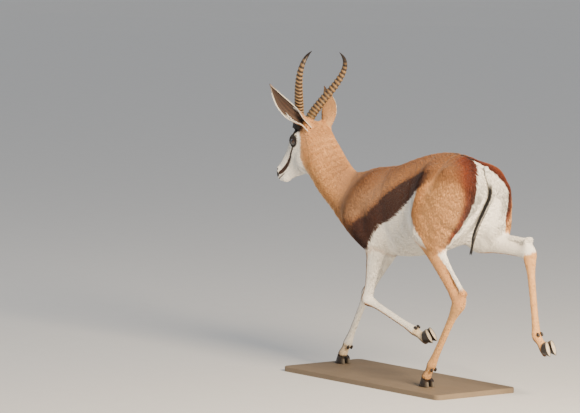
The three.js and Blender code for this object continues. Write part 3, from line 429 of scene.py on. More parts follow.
# %% Depth of the coat
COAT_DEPTH, COAT_THINNER = 2.6, 1.7


def below_knee(q):
    """1 on the lower legs, 0 on the body: the nearest leg bone decides."""
    best = np.full(len(q), FAR)
    for leg in POSE:
        for bone in (2, 3):
            a, b = JOINTS[leg][bone : bone + 2]
            d = unit(b - a)
            t = np.clip(dot(q - a, d), 0, np.linalg.norm(b - a))
            best = np.minimum(best, np.linalg.norm(q - a - d * t[:, None], axis=1))
    return 1 - smooth(30, 55, best)


def coat_depth(q):
    """Millimetres of hair over the skin: most on the body, less on face and feet."""
    head = smooth(-70, -20, in_head(q)[:, 0]) * (in_head(q)[:, 2] > -150)
    return COAT_DEPTH - COAT_THINNER * np.maximum(head * (q[:, 0] < -480), below_knee(q))


# %% [markdown]
# A hoof is two claws under a slanting crown. The foot's own frame has x forward along
# the sole, y to the animal's right and z up from the sole, and starts at the toe.
# A foot on the ground stands flat, and a raised one folds back at the toe joint.

# %% Feet
HOOF = {"length": 55, "height": 36, "width": 19, "cleft": 1.2, "ahead": 3,
        "crown": (-24, 30), "slope": 0.45}
PLANTED = ("left_hind", "right_fore")
STANCE_PITCH, RAISED_FLEX = -36, {"right_hind": 31, "left_fore": 22}
FOOT_REACH, CROWN_GAP, CROWN_MELT = 90, 1.5, 4


def foot_frame(leg):
    """The toe, and rows for forward, right and up. A raised hoof is folded back about
    the point of its crown, so the toe moves as the frame turns."""
    fetlock, toe = JOINTS[leg][3:5]
    if leg in PLANTED:
        return toe, np.array([[-1, 0, 0], [0, 1, 0], [0, 0, 1.0]])
    bone = unit(toe - fetlock)
    right = across(bone, SIDEWAYS)
    heelward = rear_of(bone)

    def turned(lean):
        c, s = np.cos(np.radians(lean)), np.sin(np.radians(lean))
        return np.array([-bone * s - heelward * c, right, -bone * c + heelward * s])

    folded = turned(STANCE_PITCH - RAISED_FLEX[leg])
    crown = vec(HOOF["crown"][0], 0, HOOF["crown"][1])
    return toe + crown @ turned(STANCE_PITCH) - crown @ folded, folded


FEET = {leg: foot_frame(leg) for leg in POSE}


def crown_height(local):
    """How far a point of the foot's frame lies under the crown's plane."""
    rise = HOOF["crown"][1] + HOOF["slope"] * (local[:, 0] - HOOF["crown"][0])
    return (rise - local[:, 2]) / np.hypot(1, HOOF["slope"])


def smooth_max(a, b, k):
    return -smooth_min(-a, -b, k)


def body_field(q):
    """The field of the flesh, ended above each hoof by its crown."""
    value = field_of(BODY, q)
    for toe, axes in FEET.values():
        near = np.flatnonzero(np.linalg.norm(q - toe, axis=1) < FOOT_REACH)
        if len(near):
            under = crown_height((q[near] - toe) @ axes.T)
            value[near] = smooth_max(value[near], under - CROWN_GAP, CROWN_MELT)
    return value


# %% [markdown]
# Folds of the head are carved into the same field: the socket and lids of each eye,
# the line of the mouth with its lips, and the nostrils. Each is a bent tube that is
# melted on, or a hollow that is cut away with a smooth maximum.

# %% Head details
EYE = {"f": 0, "l": 33, "d": 0, "radius": 17}
HEAD_REAR = -500  # x behind which nothing belongs to the face


def eye_point(l):
    return head_point(EYE["f"], EYE["l"] * l, EYE["d"])


def from_eyes(q):
    """Distance to the centre of the nearer eye."""
    return np.minimum(*(np.linalg.norm(q - eye_point(l), axis=1) for l in (1, -1)))


def eye_axes(l):
    """Outwards, forwards and up from the middle of an eye."""
    axis = unit(vec(0.12, l, 0.06) @ HEAD_AXES)
    front = across(axis, F)
    return axis, front, np.cross(axis, front)


def lid_path(l, upper, steps=13):
    """An arc over the eyeball, from corner to corner: x runs -1 to 1 along the eye and
    the lift is a parabola of x, both thrown onto a ball a little larger than the eye."""
    axis, front, up = eye_axes(l)
    rise = 1 if dot(up, D) > 0 else -1
    x = np.linspace(-1, 1, steps)[:, None]
    lift = (0.56 if upper else -0.5) * (1 - x * x) * rise + 0.08 * x
    out = np.sqrt(np.maximum(0.05, 1 - (0.84 * x) ** 2 - lift**2))
    return eye_point(l) + unit(axis * out + front * 0.84 * x + up * lift) * (EYE["radius"] + 1)


def arc_tube(path, radius, side):
    """A round tube along a path, whose radius may change from station to station."""
    r = np.broadcast_to(radius, len(path))
    return form([tube([(*p, a, a) for p, a in zip(path, r)], side, steps=1)], 1, 1)


swell = np.sin(np.pi * np.linspace(0, 1, 13))
LIDS = [arc_tube(lid_path(l, upper), 1.3 + 2.0 * swell, D) for l in (1, -1) for upper in (1, 0)]
NOSTRILS = [arc_tube(np.array([head_point(154, 4 * l, -36), head_point(149, 11 * l, -31),
                               head_point(142, 16.5 * l, -32), head_point(136, 18.5 * l, -36)]),
                     np.array([2.0, 3.4, 3.0, 1.2]), D) for l in (1, -1)]


def mouth_path():
    """Rays in a level fan from inside the muzzle, each stopped on the skin."""
    turn = np.radians(np.linspace(-104, 104, 33))
    centre = head_point(96, 0, -64)
    ray = unit(np.cos(turn)[:, None] * F + np.sin(turn)[:, None] * L)
    reach = np.arange(5, 75, 0.5)
    probes = centre + ray[:, None] * reach[:, None]
    inside = field_of(BODY[:7], probes.reshape(-1, 3)).reshape(len(turn), -1) < 0
    last = np.where(inside.any(1), inside.shape[1] - 1 - inside[:, ::-1].argmax(1), 0)
    sag = -3.0 * np.abs(turn / turn.max()) ** 3
    return centre + ray * reach[last][:, None] + D * sag[:, None]


MOUTH = arc_tube(mouth_path(), 1.7, D)


def carve(value, cutter, k):
    """Smooth maximum of a value and minus a cutter."""
    return -smooth_min(-value, cutter, k)


def flesh(q):
    """The field with the coat's depth taken off and the folds of the head put in."""
    q = np.asarray(q, float)
    value = body_field(q) + coat_depth(q)
    near = np.flatnonzero((q[:, 0] < HEAD_REAR) & (in_head(q)[:, 0] > -45))
    if len(near):
        p, v = q[near], value[near]
        for l in (1, -1):
            v = carve(v, np.linalg.norm(p - eye_point(l), axis=1) - EYE["radius"] - 0.4, 2)
        for lid in LIDS:
            v = smooth_min(v, field_of([lid], p), 2.5)
        for cut in NOSTRILS:
            v = carve(v, field_of([cut], p), 3)
        v = carve(v, field_of([MOUTH], p), 2)
        value[near] = v
    return value


# %% [markdown]
# A surface net turns the field into a mesh. Space is divided into small cubes, each
# cube that the surface crosses gets one vertex, and each edge of the grid that changes
# sign gets one quad. The grid is worked out coarsely first, and finely only near the
# surface. A remesh modifier could do it too, but would round off the tendons.

# %% Surface net
CELL = 6.0
LOW = vec(-730, -200, -14)
LEVELS = 3


def sample_grid(shape):
    """Field values on the fine grid, by three passes, each twice as fine as the last."""
    coarse = CELL * 2 ** (LEVELS - 1)
    n = [int(np.ceil(s / coarse)) + 1 for s in shape]
    grid = np.stack(np.meshgrid(*(np.arange(k) for k in n), indexing="ij"), -1)
    value = body_field((LOW + grid * coarse).reshape(-1, 3)).reshape(n)
    for level in range(LEVELS - 2, -1, -1):
        step = CELL * 2**level
        near = np.abs(value) < step * 2 * 1.35 + 4
        for axis in range(3):
            near = near | np.roll(near, 1, axis) | np.roll(near, -1, axis)
        for axis in range(3):
            value = value.repeat(2, axis)
            near = near.repeat(2, axis)
        spot = np.argwhere(near)
        value[tuple(spot.T)] = body_field(LOW + spot * step)
        print("grid of", step, "mm:", len(spot), "points worked out")
    return value


def surface_net(value):
    """Vertices at the mean of each cell's edge crossings, and quads round crossed edges."""
    inside = value < 0
    corner = [(i, j, k) for i in (0, 1) for j in (0, 1) for k in (0, 1)]
    n = np.array(value.shape) - 1
    part = lambda a, c: a[c[0] : c[0] + n[0], c[1] : c[1] + n[1], c[2] : c[2] + n[2]]
    count = sum(part(inside, c).astype(np.int8) for c in corner)
    cells = np.argwhere((count > 0) & (count < 8))
    index = np.full(n, -1)
    index[tuple(cells.T)] = np.arange(len(cells))
    v = np.stack([value[tuple((cells + c).T)] for c in corner], 1)
    total, hits = np.zeros((len(cells), 3)), np.zeros(len(cells))
    for a, p in enumerate(corner):
        for b, q in enumerate(corner):
            if b <= a or sum(x != y for x, y in zip(p, q)) != 1:
                continue
            crossed = (v[:, a] < 0) != (v[:, b] < 0)
            t = np.where(crossed, v[:, a] / np.where(crossed, v[:, a] - v[:, b], 1), 0)
            point = vec(*p) + (vec(*q) - vec(*p)) * t[:, None]
            total += point * crossed[:, None]
            hits += crossed
    points = LOW + (cells + total / hits[:, None]) * CELL
    quads = []
    for axis in range(3):
        u, w = np.eye(3, dtype=int)[(axis + 1) % 3], np.eye(3, dtype=int)[(axis + 2) % 3]
        ahead = np.roll(inside, -1, axis)
        for way in (False, True):
            edge = np.argwhere((inside != ahead) & (inside == way))
            edge = edge[(edge > 0).all(1) & (edge < n).all(1)]
            ring = [index[tuple((edge - o).T)] for o in (0 * u, u, u + w, w)]
            quads.append(np.stack(ring if way else ring[::-1], 1))
    quads = np.vstack(quads)
    return points, quads[(quads >= 0).all(1)]


def draw_on(surface, q, passes, most):
    """Newton steps onto the surface's zero, along a slope taken from four points."""
    h = 1.2
    probe = vec(1, -1, -1), vec(-1, -1, 1), vec(-1, 1, -1), vec(1, 1, 1)
    for _ in range(passes):
        v = surface(np.concatenate([q + h * k for k in probe])).reshape(4, -1)
        slope = sum(k * x[:, None] for k, x in zip(probe, v)) / (4 * h)
        move = -slope * (v.mean(0) / np.maximum(dot(slope, slope), 0.1))[:, None]
        long = np.linalg.norm(move, axis=1, keepdims=True)
        q = q + move * np.minimum(1, most / np.maximum(long, 1e-9))
    return q


net_points, net_quads = surface_net(sample_grid((1380, 380, 900)))
print(len(net_points), "vertices and", len(net_quads), "quads in the net")

# %% [markdown]
# The net becomes the skin's mesh. The head is small and full of detail, so its faces are
# split once, and those round the eyes, nostrils and mouth once more. After each split
# the new vertices are drawn onto the field, so the skin stays smooth everywhere.
# On the slim legs the net is evened out first, so that its cells leave no facets.

# %% Skin mesh
def linked(name, data):
    """A new object in the scene that shows the given data."""
    made = bpy.data.objects.new(name, data)
    bpy.context.scene.collection.objects.link(made)
    return made


def mesh_object(name, points, faces):
    """A new object from points in millimetres and faces of one size, at the origin."""
    mesh = bpy.data.meshes.new(name)
    points, faces = place(points), np.asarray(faces, np.int32)
    mesh.vertices.add(len(points))
    mesh.vertices.foreach_set("co", points.astype(np.float32).ravel())
    sides = faces.shape[1]
    mesh.loops.add(faces.size)
    mesh.loops.foreach_set("vertex_index", faces.ravel())
    mesh.polygons.add(len(faces))
    mesh.polygons.foreach_set("loop_start", np.arange(0, faces.size, sides, dtype=np.int32))
    mesh.polygons.foreach_set("use_smooth", np.ones(len(faces), bool))
    mesh.update(calc_edges=True)
    mesh.validate()
    return linked(name, mesh)


def fetch(items, key, width, kind=np.float32):
    """One field of all the items, as an array with that many columns."""
    flat = np.zeros(len(items) * width, kind)
    items.foreach_get(key, flat)
    return flat.reshape(-1, width)


def table_points(mesh):
    """A mesh's vertices in the tables' millimetres."""
    return fetch(mesh.vertices, "co", 3).astype(float) * 1000 - SHIFT


def set_points(mesh, points):
    mesh.vertices.foreach_set("co", place(points).astype(np.float32).ravel())
    mesh.update()


def set_attribute(mesh, name, values):
    """A number or a colour at every vertex."""
    values = np.asarray(values, np.float32)
    if values.ndim == 1:
        mesh.attributes.new(name, "FLOAT", "POINT").data.foreach_set("value", values)
    else:
        full = np.hstack([values, np.ones((len(values), 1), np.float32)])
        mesh.attributes.new(name, "FLOAT_COLOR", "POINT").data.foreach_set("color", full.ravel())


def split_where(mesh, chosen):
    """Cuts in four every face whose vertices are all chosen."""
    bm = bmesh.new()
    bm.from_mesh(mesh)
    bm.verts.ensure_lookup_table()
    edges = [e for e in bm.edges if chosen[e.verts[0].index] and chosen[e.verts[1].index]]
    bmesh.ops.subdivide_edges(bm, edges=edges, cuts=1, use_grid_fill=True)
    bm.to_mesh(mesh)
    bm.free()


def head_region(q):
    h = in_head(q)
    return (q[:, 0] < HEAD_REAR) & (h[:, 0] > -48) & (h[:, 2] > -140)


def fine_region(q):
    h = in_head(q)
    muzzle = (h[:, 0] > 84) & (h[:, 2] > -95)
    return (q[:, 0] < HEAD_REAR) & ((from_eyes(q) < 36) | muzzle)


def evened(values, edges, rounds):
    """Every vertex takes the mean of itself and its neighbours, several times."""
    a, b = edges.T
    count = 1.0 + np.bincount(a, minlength=len(values)) + np.bincount(b, minlength=len(values))
    for _ in range(rounds):
        total = values.copy()
        for i in range(3):
            total[:, i] += np.bincount(a, values[b, i], len(values))
            total[:, i] += np.bincount(b, values[a, i], len(values))
        values = total / count[:, None]
    return values


SLIM_BELOW = 500
skin_points = draw_on(flesh, net_points, 2, 3.0)
quad_edges = np.vstack([net_quads[:, [i, (i + 1) % 4]] for i in range(4)])
slim = np.flatnonzero(skin_points[:, 2] < SLIM_BELOW)
skin_points[slim] = draw_on(flesh, evened(skin_points, quad_edges, 2)[slim], 3, 2.0)
skin = mesh_object("skin", skin_points, net_quads)
for region in (head_region, fine_region):
    split_where(skin.data, region(table_points(skin.data)))
    moved = table_points(skin.data)
    near = np.flatnonzero(region(moved))
    moved[near] = draw_on(flesh, moved[near], 2, 2.0)
    set_points(skin.data, moved)
    print(region.__name__, len(near), "vertices drawn on")
skin.data.polygons.foreach_set("use_smooth", np.ones(len(skin.data.polygons), bool))
print("skin:", len(skin.data.vertices), "vertices,", len(skin.data.polygons), "faces")

# %% [markdown]
# Horns, ears, eyes, claws and the tail are surfaces of two parameters: a ring of points
# is carried along a path, and the rings are joined by quads and closed at both ends.

# %% Rings along a path
def even_steps(curve, n):
    """n + 1 points at even steps along a path of many points."""
    run = np.r_[0, np.cumsum(np.linalg.norm(np.diff(curve, axis=0), axis=1))]
    return rows_at(np.linspace(0, run[-1], n + 1), run, curve)


def bezier(points, n):
    """n + 1 points at even steps along a cubic Bezier curve."""
    t = np.linspace(0, 1, 401)[:, None]
    a, b, c, e = (np.asarray(p, float) for p in points)
    curve = a * (1 - t) ** 3 + 3 * b * t * (1 - t) ** 2 + 3 * c * t**2 * (1 - t) + e * t**3
    return even_steps(curve, n)


def path_frames(path, side):
    """Along the path: its direction d, s nearest to side, and u square to both."""
    d = unit(np.gradient(path, axis=0))
    s = across(d, np.broadcast_to(side, d.shape))
    return d, s, np.cross(d, s)


def ring_faces(rings, sides, first=0, closed=True):
    """Quads between rings of points, all turned the same way."""
    i, j = np.meshgrid(np.arange(rings - 1), np.arange(sides if closed else sides - 1),
                       indexing="ij")
    a, b = first + i * sides + j, first + i * sides + (j + 1) % sides
    return np.stack([a, b, b + sides, a + sides], -1).reshape(-1, 4)


def lofted(name, rings):
    """A closed solid from an array of rings (n, sides, 3): quads, and a fan at each end."""
    n, sides, _ = rings.shape
    points = np.vstack([rings.reshape(-1, 3), rings[0].mean(0), rings[-1].mean(0)])
    j = np.arange(sides)
    k = (j + 1) % sides
    last = (n - 1) * sides
    ends = np.vstack([np.stack([k, j, j, 0 * j + n * sides], 1),
                      np.stack([last + j, last + k, last + k, 0 * j + n * sides + 1], 1)])
    mesh = bpy.data.meshes.new(name)
    quads = ring_faces(n, sides)
    triangles = ends[:, [0, 1, 3]]
    mesh.from_pydata(place(points).tolist(), [], quads.tolist() + triangles.tolist())
    mesh.polygons.foreach_set("use_smooth", np.ones(len(mesh.polygons), bool))
    made = linked(name, mesh)
    face_out(made)
    return made


def face_out(obj):
    """Recalculates the normals so that every face points outwards."""
    bm = bmesh.new()
    bm.from_mesh(obj.data)
    bmesh.ops.recalc_face_normals(bm, faces=bm.faces)
    bm.to_mesh(obj.data)
    bm.free()


def circle(n):
    return np.linspace(0, 2 * np.pi, n, endpoint=False)


def oval_rings(path, s, u, a, b, angle):
    """Ovals round a path: path + s a cos(angle) + u b sin(angle)."""
    return (path[:, None] + s[:, None] * (a * np.cos(angle))[..., None]
            + u[:, None] * (b * np.sin(angle))[..., None])


def ball_rings(centre, axes, radii, a, b):
    """Rings of an oval ball of polar angle a and turn b: its three axes times the radii
    times cos a, sin a cos b and sin a sin b."""
    first, second, third = radii
    return (centre + axes[0] * (first * np.cos(a) + 0 * b)[..., None]
            + axes[1] * (second * np.sin(a) * np.cos(b))[..., None]
            + axes[2] * (third * np.sin(a) * np.sin(b))[..., None])


def set_on_rings(made, ends=None, **values):
    """Numbers on a lofted solid, ring by ring. Its two end points take the numbers in
    ends, or else those of the first and the last vertex."""
    for key, value in values.items():
        flat = np.ravel(value)
        set_attribute(made.data, key, np.r_[flat, ends or (flat[0], flat[-1])])


# %% [markdown]
# A springbok's horn bends out, in and forward like a lyre. Rings stand close together
# on the lower three quarters, each a ridge with a steep lower edge, and the tip is
# smooth. The ridges are part of the radius, so they catch the light from any side.

# %% Horns
HORN_CURVE = [(-37, 25, 50), (-88, 23, 104), (-231, 177, 156), (-259, 70, 214)]
HORN_BASE, HORN_RINGS, HORN_RIDGE = 17.5, 22, 1.35
HORN_STEPS, HORN_SIDES, HORN_ROOT = 420, 32, 5


def ridge_wave(t):
    """1 on a ring's crest and -1 in the groove: a cosine whose crests lean to the root
    and stand closer together near it."""
    turn = HORN_RINGS * np.clip(t, 0, 1) ** 0.86 * 2 * np.pi
    return np.cos(turn + 0.6 * np.sin(turn))


def horn_radius(t):
    """A taper, with a ridge wave on it that dies out at three quarters of the length."""
    taper = HORN_BASE * (1 - 0.32 * t - 0.5 * t**3.2)
    taper = taper * (1 - np.maximum(0, t - 0.9) ** 1.5 * 22)
    fade = np.clip((0.8 - t) / 0.14, 0, 1) * np.clip((t + 0.02) / 0.05, 0, 1)
    return np.maximum(1.2, taper + fade * HORN_RIDGE * ridge_wave(t))


def make_horn(name, l):
    path = bezier([head_point(f, s * l, d) for f, s, d in HORN_CURVE], HORN_STEPS)
    root = path[0] - (path[4] - path[0]) * np.linspace(6, 1, HORN_ROOT)[:, None]
    t = np.r_[np.zeros(HORN_ROOT), np.linspace(0, 1, HORN_STEPS + 1)]
    path = np.vstack([root, path])
    _, s, u = path_frames(path, L)
    angle = circle(HORN_SIDES)
    slant = np.clip(t[:, None] + 0.006 * np.sin(angle), 0, 1)
    r = horn_radius(np.where(t[:, None] > 0, slant, 0))
    horn = lofted(name, oval_rings(path, s, u, 0.88 * r, 1.08 * r, angle))
    set_on_rings(horn, (0, 1), along=np.repeat(t, HORN_SIDES),
                 ridge=ridge_wave(slant) * 0.5 + 0.5)
    return horn


horns = {n: make_horn(n, l) for n, l in (("horn_left", 1), ("horn_right", -1))}
print("horns:", [len(h.data.polygons) for h in horns.values()], "faces each")

# %% [markdown]
# An ear is a long leaf, rolled to a funnel at the root and open towards the tip.
# One surface of t, from root to tip, and v, from edge to edge, is drawn twice, a wall
# apart, and the two sheets are joined round the rim.

# %% Ears
EARS = {
    "left_ear": {"root": (-88, 48, 22), "reach": (11, 87, 163), "open": (-0.35, 0.9, -0.3),
                 "bow": (11, 7, -5)},
    "right_ear": {"root": (-92, -52, 12), "reach": (4, -76, 168), "open": (0.55, -0.72, 0.33),
                  "bow": (-8, -9, -4)},
}
EAR_WALL = 2.4


def ear_frame(name):
    ear = EARS[name]
    d = unit(vec(*ear["reach"]) @ HEAD_AXES)
    opening = across(d, vec(*ear["open"]) @ HEAD_AXES)
    return {"root": head_point(*ear["root"]), "d": d, "open": opening,
            "bow": vec(*ear["bow"]) @ HEAD_AXES, "side": np.cross(d, opening),
            "length": np.linalg.norm(ear["reach"])}


def ear_width(t):
    t = np.maximum(t, 0)
    return 16 + 12 * np.sin(np.pi * np.minimum(1, t * 1.05) ** 0.9) - 14.5 * t**2.6


def ear_surface(ear, t, v, wall):
    """A curled leaf: the angle v * curl gives the place across, the bow bends it."""
    wide = np.maximum(1.2, ear_width(t))
    deep = (15 * np.maximum(1 - t, 0) ** 0.8 + 5) * np.minimum(1, wide / 12)
    curl = mix(2.6, 1.3, smooth(0, 0.5, t))
    angle = v * curl
    y = (wide - wall) * np.sin(angle * 0.98) / np.sin(np.minimum(curl, np.pi / 2))
    z = -(deep - wall) * np.cos(angle) + deep * 0.4 * np.maximum(t, 0)
    line = (ear["root"] + ear["d"] * (ear["length"] * t)[..., None]
            + ear["bow"] * np.sin(np.pi * np.clip(t, 0, 1))[..., None])
    return line + ear["side"] * y[..., None] + ear["open"] * z[..., None]


def make_ear(name, label):
    ear = ear_frame(name)
    t, v = np.meshgrid(np.r_[-0.16, -0.08, np.linspace(0, 0.995, 44) ** 0.95],
                       np.linspace(-1, 1, 33), indexing="ij")
    outer, inner = ear_surface(ear, t, v, 0.0), ear_surface(ear, t, v, EAR_WALL)
    ring = np.concatenate([outer, inner[:, ::-1]], 1)
    made = lofted(label, ring)
    set_on_rings(made, along=np.concatenate([t, t], 1),
                 across=np.concatenate([v, v[:, ::-1]], 1),
                 within=np.concatenate([0 * v, 0 * v + 1], 1))
    return made


ears = {n: make_ear(n, label) for n, label in (("left_ear", "ear_left"),
                                                ("right_ear", "ear_right"))}

# %% [markdown]
# The eye is a ball with a clear bulge in front. Its iris is so dark a brown that only
# the wet highlight and a faint rim show, with a level slot of a pupil.

# %% Eyes
def make_eye(label, l):
    """A sphere of polar angle a and turn b round its outward axis, with a cornea that
    adds 1.1 mm where a is small."""
    axis, front, up = eye_axes(l)
    a = np.linspace(0.02, np.pi - 0.02, 40)[:, None]
    b = circle(48)[None]
    r = EYE["radius"] - 0.3 + 1.1 * np.clip(1 - a / 0.75, 0, 1) ** 0.8
    made = lofted(label, ball_rings(eye_point(l), (axis, front, up), (r, r, r), a, b))
    set_on_rings(made, polar=a + 0 * b, level=np.sin(a) * np.sin(b),
                 fore=np.sin(a) * np.cos(b))
    return made


eyes = {"left_eye": make_eye("eye_left", 1), "right_eye": make_eye("eye_right", -1)}

# %% [markdown]
# A claw is a stack of pointed loops from the sole to the crown. The loops lean forward
# as they go down, the inner wall is flatter than the outer one, and the top is cut by
# the crown's slanting plane, where the hair of the foot begins.

# %% Claws
def claw_side(leg, side):
    return "outer" if side == SIDE_OF[leg] else "inner"


def make_claw(leg, side):
    toe, axes = FEET[leg]
    t = np.r_[0, 0, 0, 0, 0.03, 0.08, np.linspace(0.15, 1.2, 15)][:, None]
    inset = np.r_[0.25, 0.6, 0.86, 1, np.ones(17)][:, None]
    angle = circle(40)[None]
    c, s = np.cos(angle), np.sin(angle)
    front = HOOF["ahead"] - HOOF["length"] * 0.32 * t - 5 * np.minimum(t, 0.12)
    rear = HOOF["ahead"] - HOOF["length"] + 4 * t
    grow = np.interp(t, [0, 0.12, 1.2], [0.92, 0.986, 0.856])
    taper = 1 - 0.5 * np.maximum(0, c) ** 2.2
    flat = np.where(s * side > 0, 1.12, 0.8)
    wide = HOOF["width"] / 2
    x = (front + rear) / 2 + (front - rear) / 2 * c * inset
    y = (HOOF["cleft"] + wide) * side + wide * grow * s * taper * flat * inset
    y = y + side * 0.045 * (x + HOOF["length"] - HOOF["ahead"])
    z = 0.15 + HOOF["height"] * t + 2.2 * smooth(1, 0.7, inset) + 0 * c
    z = z + 0.35 * np.sin(t * 40) * (t > 0.1) * (t < 0.9)
    local = np.stack([x, y, z], -1).reshape(-1, 3)
    over = np.maximum(0, -crown_height(local)) * np.hypot(1, HOOF["slope"])
    local[:, 2] -= over
    ring = (toe + local @ axes).reshape(len(t), -1, 3)
    made = lofted(f"claw_{leg}_{claw_side(leg, side)}", ring)
    sole = np.broadcast_to(smooth(0.95, 0.8, inset), (len(t), 40))
    bulb = smooth(0.5, 0.95, -c) * smooth(0.62, 0.4, t)
    set_on_rings(made, rise=local[:, 2] / HOOF["height"], sole=np.maximum(sole, bulb * 0.15))
    return made


claws = {(leg, side): make_claw(leg, side) for leg in POSE for side in (LEFT, RIGHT)}


def make_dewclaw(leg, side):
    """A small half-dome behind the fetlock: an oval, fuller below."""
    fetlock, toe = JOINTS[leg][3:5]
    bone = unit(toe - fetlock)
    rear = rear_of(bone)
    right = across(bone, SIDEWAYS)
    centre = fetlock + bone * 6 + rear * 18.5 + right * 8 * side
    a, b = np.linspace(0.05, np.pi - 0.05, 12)[:, None], circle(16)[None]
    ring = ball_rings(centre, (bone, right, rear), (8.5, 4.6, 5.2), a, b)
    return lofted(f"dewclaw_{leg}_{claw_side(leg, side)}", ring)


dewclaws = {(leg, side): make_dewclaw(leg, side) for leg in POSE for side in (LEFT, RIGHT)}
print(len(claws), "claws and", len(dewclaws), "dewclaws")

# %% [markdown]
# The tail hangs thin and white from the rump and ends in a black tuft. Its core is a
# narrow tube; the hair that makes its outline is grown on it later.

# %% Tail core
TAIL = [(350, 0, 760), (380, -8, 724), (388, -13, 684), (376, -24, 642), (354, -30, 602),
        (334, -33, 566), (318, -33, 533), (306, -33, 496)]
TAIL_STEPS, TAIL_SIDES = 90, 16
TAIL_BARE = 12  # steps at the tip that hair alone covers
tail_path = even_steps(refine(TAIL, 40), TAIL_STEPS)
tail_t = np.linspace(0, 1, TAIL_STEPS + 1)
core_along = np.r_[0, tail_t[:-TAIL_BARE]]


def tail_radius(t):
    return mix(9.5, 3.2, t**0.8)


def make_tail():
    path = np.vstack([tail_path[0] - (tail_path[3] - tail_path[0]) * 2, tail_path[:-TAIL_BARE]])
    _, s, u = path_frames(path, SIDEWAYS)
    r = np.maximum(tail_radius(core_along) - 2.2, 0.8)[:, None]
    r = r * (1 - smooth(0.8, 0.88, core_along)[:, None] * 0.6)
    return lofted("tail_core", oval_rings(path, s, u, 1.2 * r, 0.8 * r, circle(TAIL_SIDES)))


tail_core = make_tail()

# %% [markdown]
# The springbok's pattern is painted by position, so that skin and coat always agree.
# Each mark is a soft-edged mask: a number from 0 to 1 at every point, worked out from
# the side view of the trunk, the head's own frame, or the angle round a leg's bone.

# %% Colours and masks
def paint(r, g, b):
    """Screen colour to the linear numbers that light is worked out in."""
    c = np.array([r, g, b]) / 255
    return np.where(c <= 0.04045, c / 12.92, ((c + 0.055) / 1.055) ** 2.4)


CINNAMON, BACK, THIGH = paint(190, 134, 82), paint(128, 84, 52), paint(206, 152, 98)
# The second colour here, the shoulder's greyer brown, is partly the hair's own tone and partly
# painted shade.
NECK_TAN, SHADED_SHOULDER = paint(212, 156, 100), paint(150, 112, 82)
CHESTNUT, DARK_CHESTNUT = paint(118, 50, 22), paint(74, 28, 14)
FLANK, WHITE, CREAM = paint(56, 27, 18), paint(246, 241, 231), paint(234, 212, 178)
LEG_TAN, LEG_BROWN = paint(216, 164, 106), paint(80, 50, 34)
FOREHEAD, STRIPE, EYE_RIM = paint(96, 60, 38), paint(52, 30, 21), paint(26, 18, 15)
NOSE, BLACK, GREY = paint(38, 31, 29), paint(22, 17, 15), paint(150, 140, 132)


def lay_on(base, colour, mask):
    """Paint over paint: base where the mask is 0, colour where it is 1."""
    return base + (colour - base) * np.clip(mask, 0, 1)[:, None]


def near_polyline(q, path):
    """Distance from each point to a path, and how far along it the nearest place is."""
    best, where = np.full(len(q), FAR), np.zeros(len(q))
    for i, (a, b) in enumerate(zip(path[:-1], path[1:])):
        long = np.linalg.norm(b - a)
        t = np.clip(dot(q - a, (b - a) / long) / long, 0, 1)
        d = np.linalg.norm(q - a - (b - a) * t[:, None], axis=1)
        where = np.where(d < best, (i + t) / (len(path) - 1), where)
        best = np.minimum(best, d)
    return best, where


def jagged(q, size, reach):
    """A ragged offset in millimetres, as where long hair crosses a border: sines of
    several lengths added up."""
    x, y, z = (q / size).T
    wave = (np.sin(1.7 * x + 2.3 * z + 1.1) + 0.7 * np.sin(3.9 * z - 2.6 * x + 0.8 * y)
            + 0.5 * np.sin(6.1 * x + 5.3 * z + 2.2 * y) + 0.4 * np.sin(9.7 * z - 7.9 * x))
    return wave * reach / 2.6


# The rump patch's edge on one side: x, y and z from its point on the spine downwards
RUMP_EDGE = np.array([(264, 0, 797), (284, 8, 789), (306, 17, 778), (324, 31, 766),
                      (342, 43, 751), (356, 53, 736), (368, 60, 720), (374, 66, 703),
                      (376, 68, 687), (372, 71, 669), (366, 72, 652), (356, 73, 634),
                      (342, 74, 616), (326, 76, 594), (312, 80, 577), (295, 84, 558),
                      (276, 87, 540), (256, 84, 520)], float)
# Upper and lower edge of the dark flank band: x and z in the side view
BAND_TOP = np.array([(-330, 520), (-262, 560), (-214, 577), (-198, 594), (-161, 622), (-123, 653),
                     (-63, 680), (-27, 700), (14, 719), (60, 737), (128, 756), (190, 768)], float)
BAND_FOOT = np.array([(-330, 440), (-192, 466), (-166, 516), (-139, 548), (-92, 561), (-42, 583),
                      (24, 630), (60, 655), (80, 678), (129, 706), (198, 744)], float)
# Where the white of the belly meets the front of the thigh: x and z
THIGH_EDGE = np.array([(205, 430), (181, 490), (168, 530), (146, 562), (112, 590), (92, 607),
                       (98, 638), (104, 679), (110, 760)], float)


def rump_masks(q):
    """How far outside the rump patch's edge a point lies, negative inside it."""
    mirrored = q.copy()
    mirrored[:, 1] = np.abs(q[:, 1])
    away, _ = near_polyline(mirrored, RUMP_EDGE)
    half = np.interp(-q[:, 2], -RUMP_EDGE[:, 2], RUMP_EDGE[:, 1])
    inside = (mirrored[:, 1] < half) & (q[:, 0] > 225) & (q[:, 2] < 799) & (q[:, 2] > 500)
    return np.where(inside, -away, away)


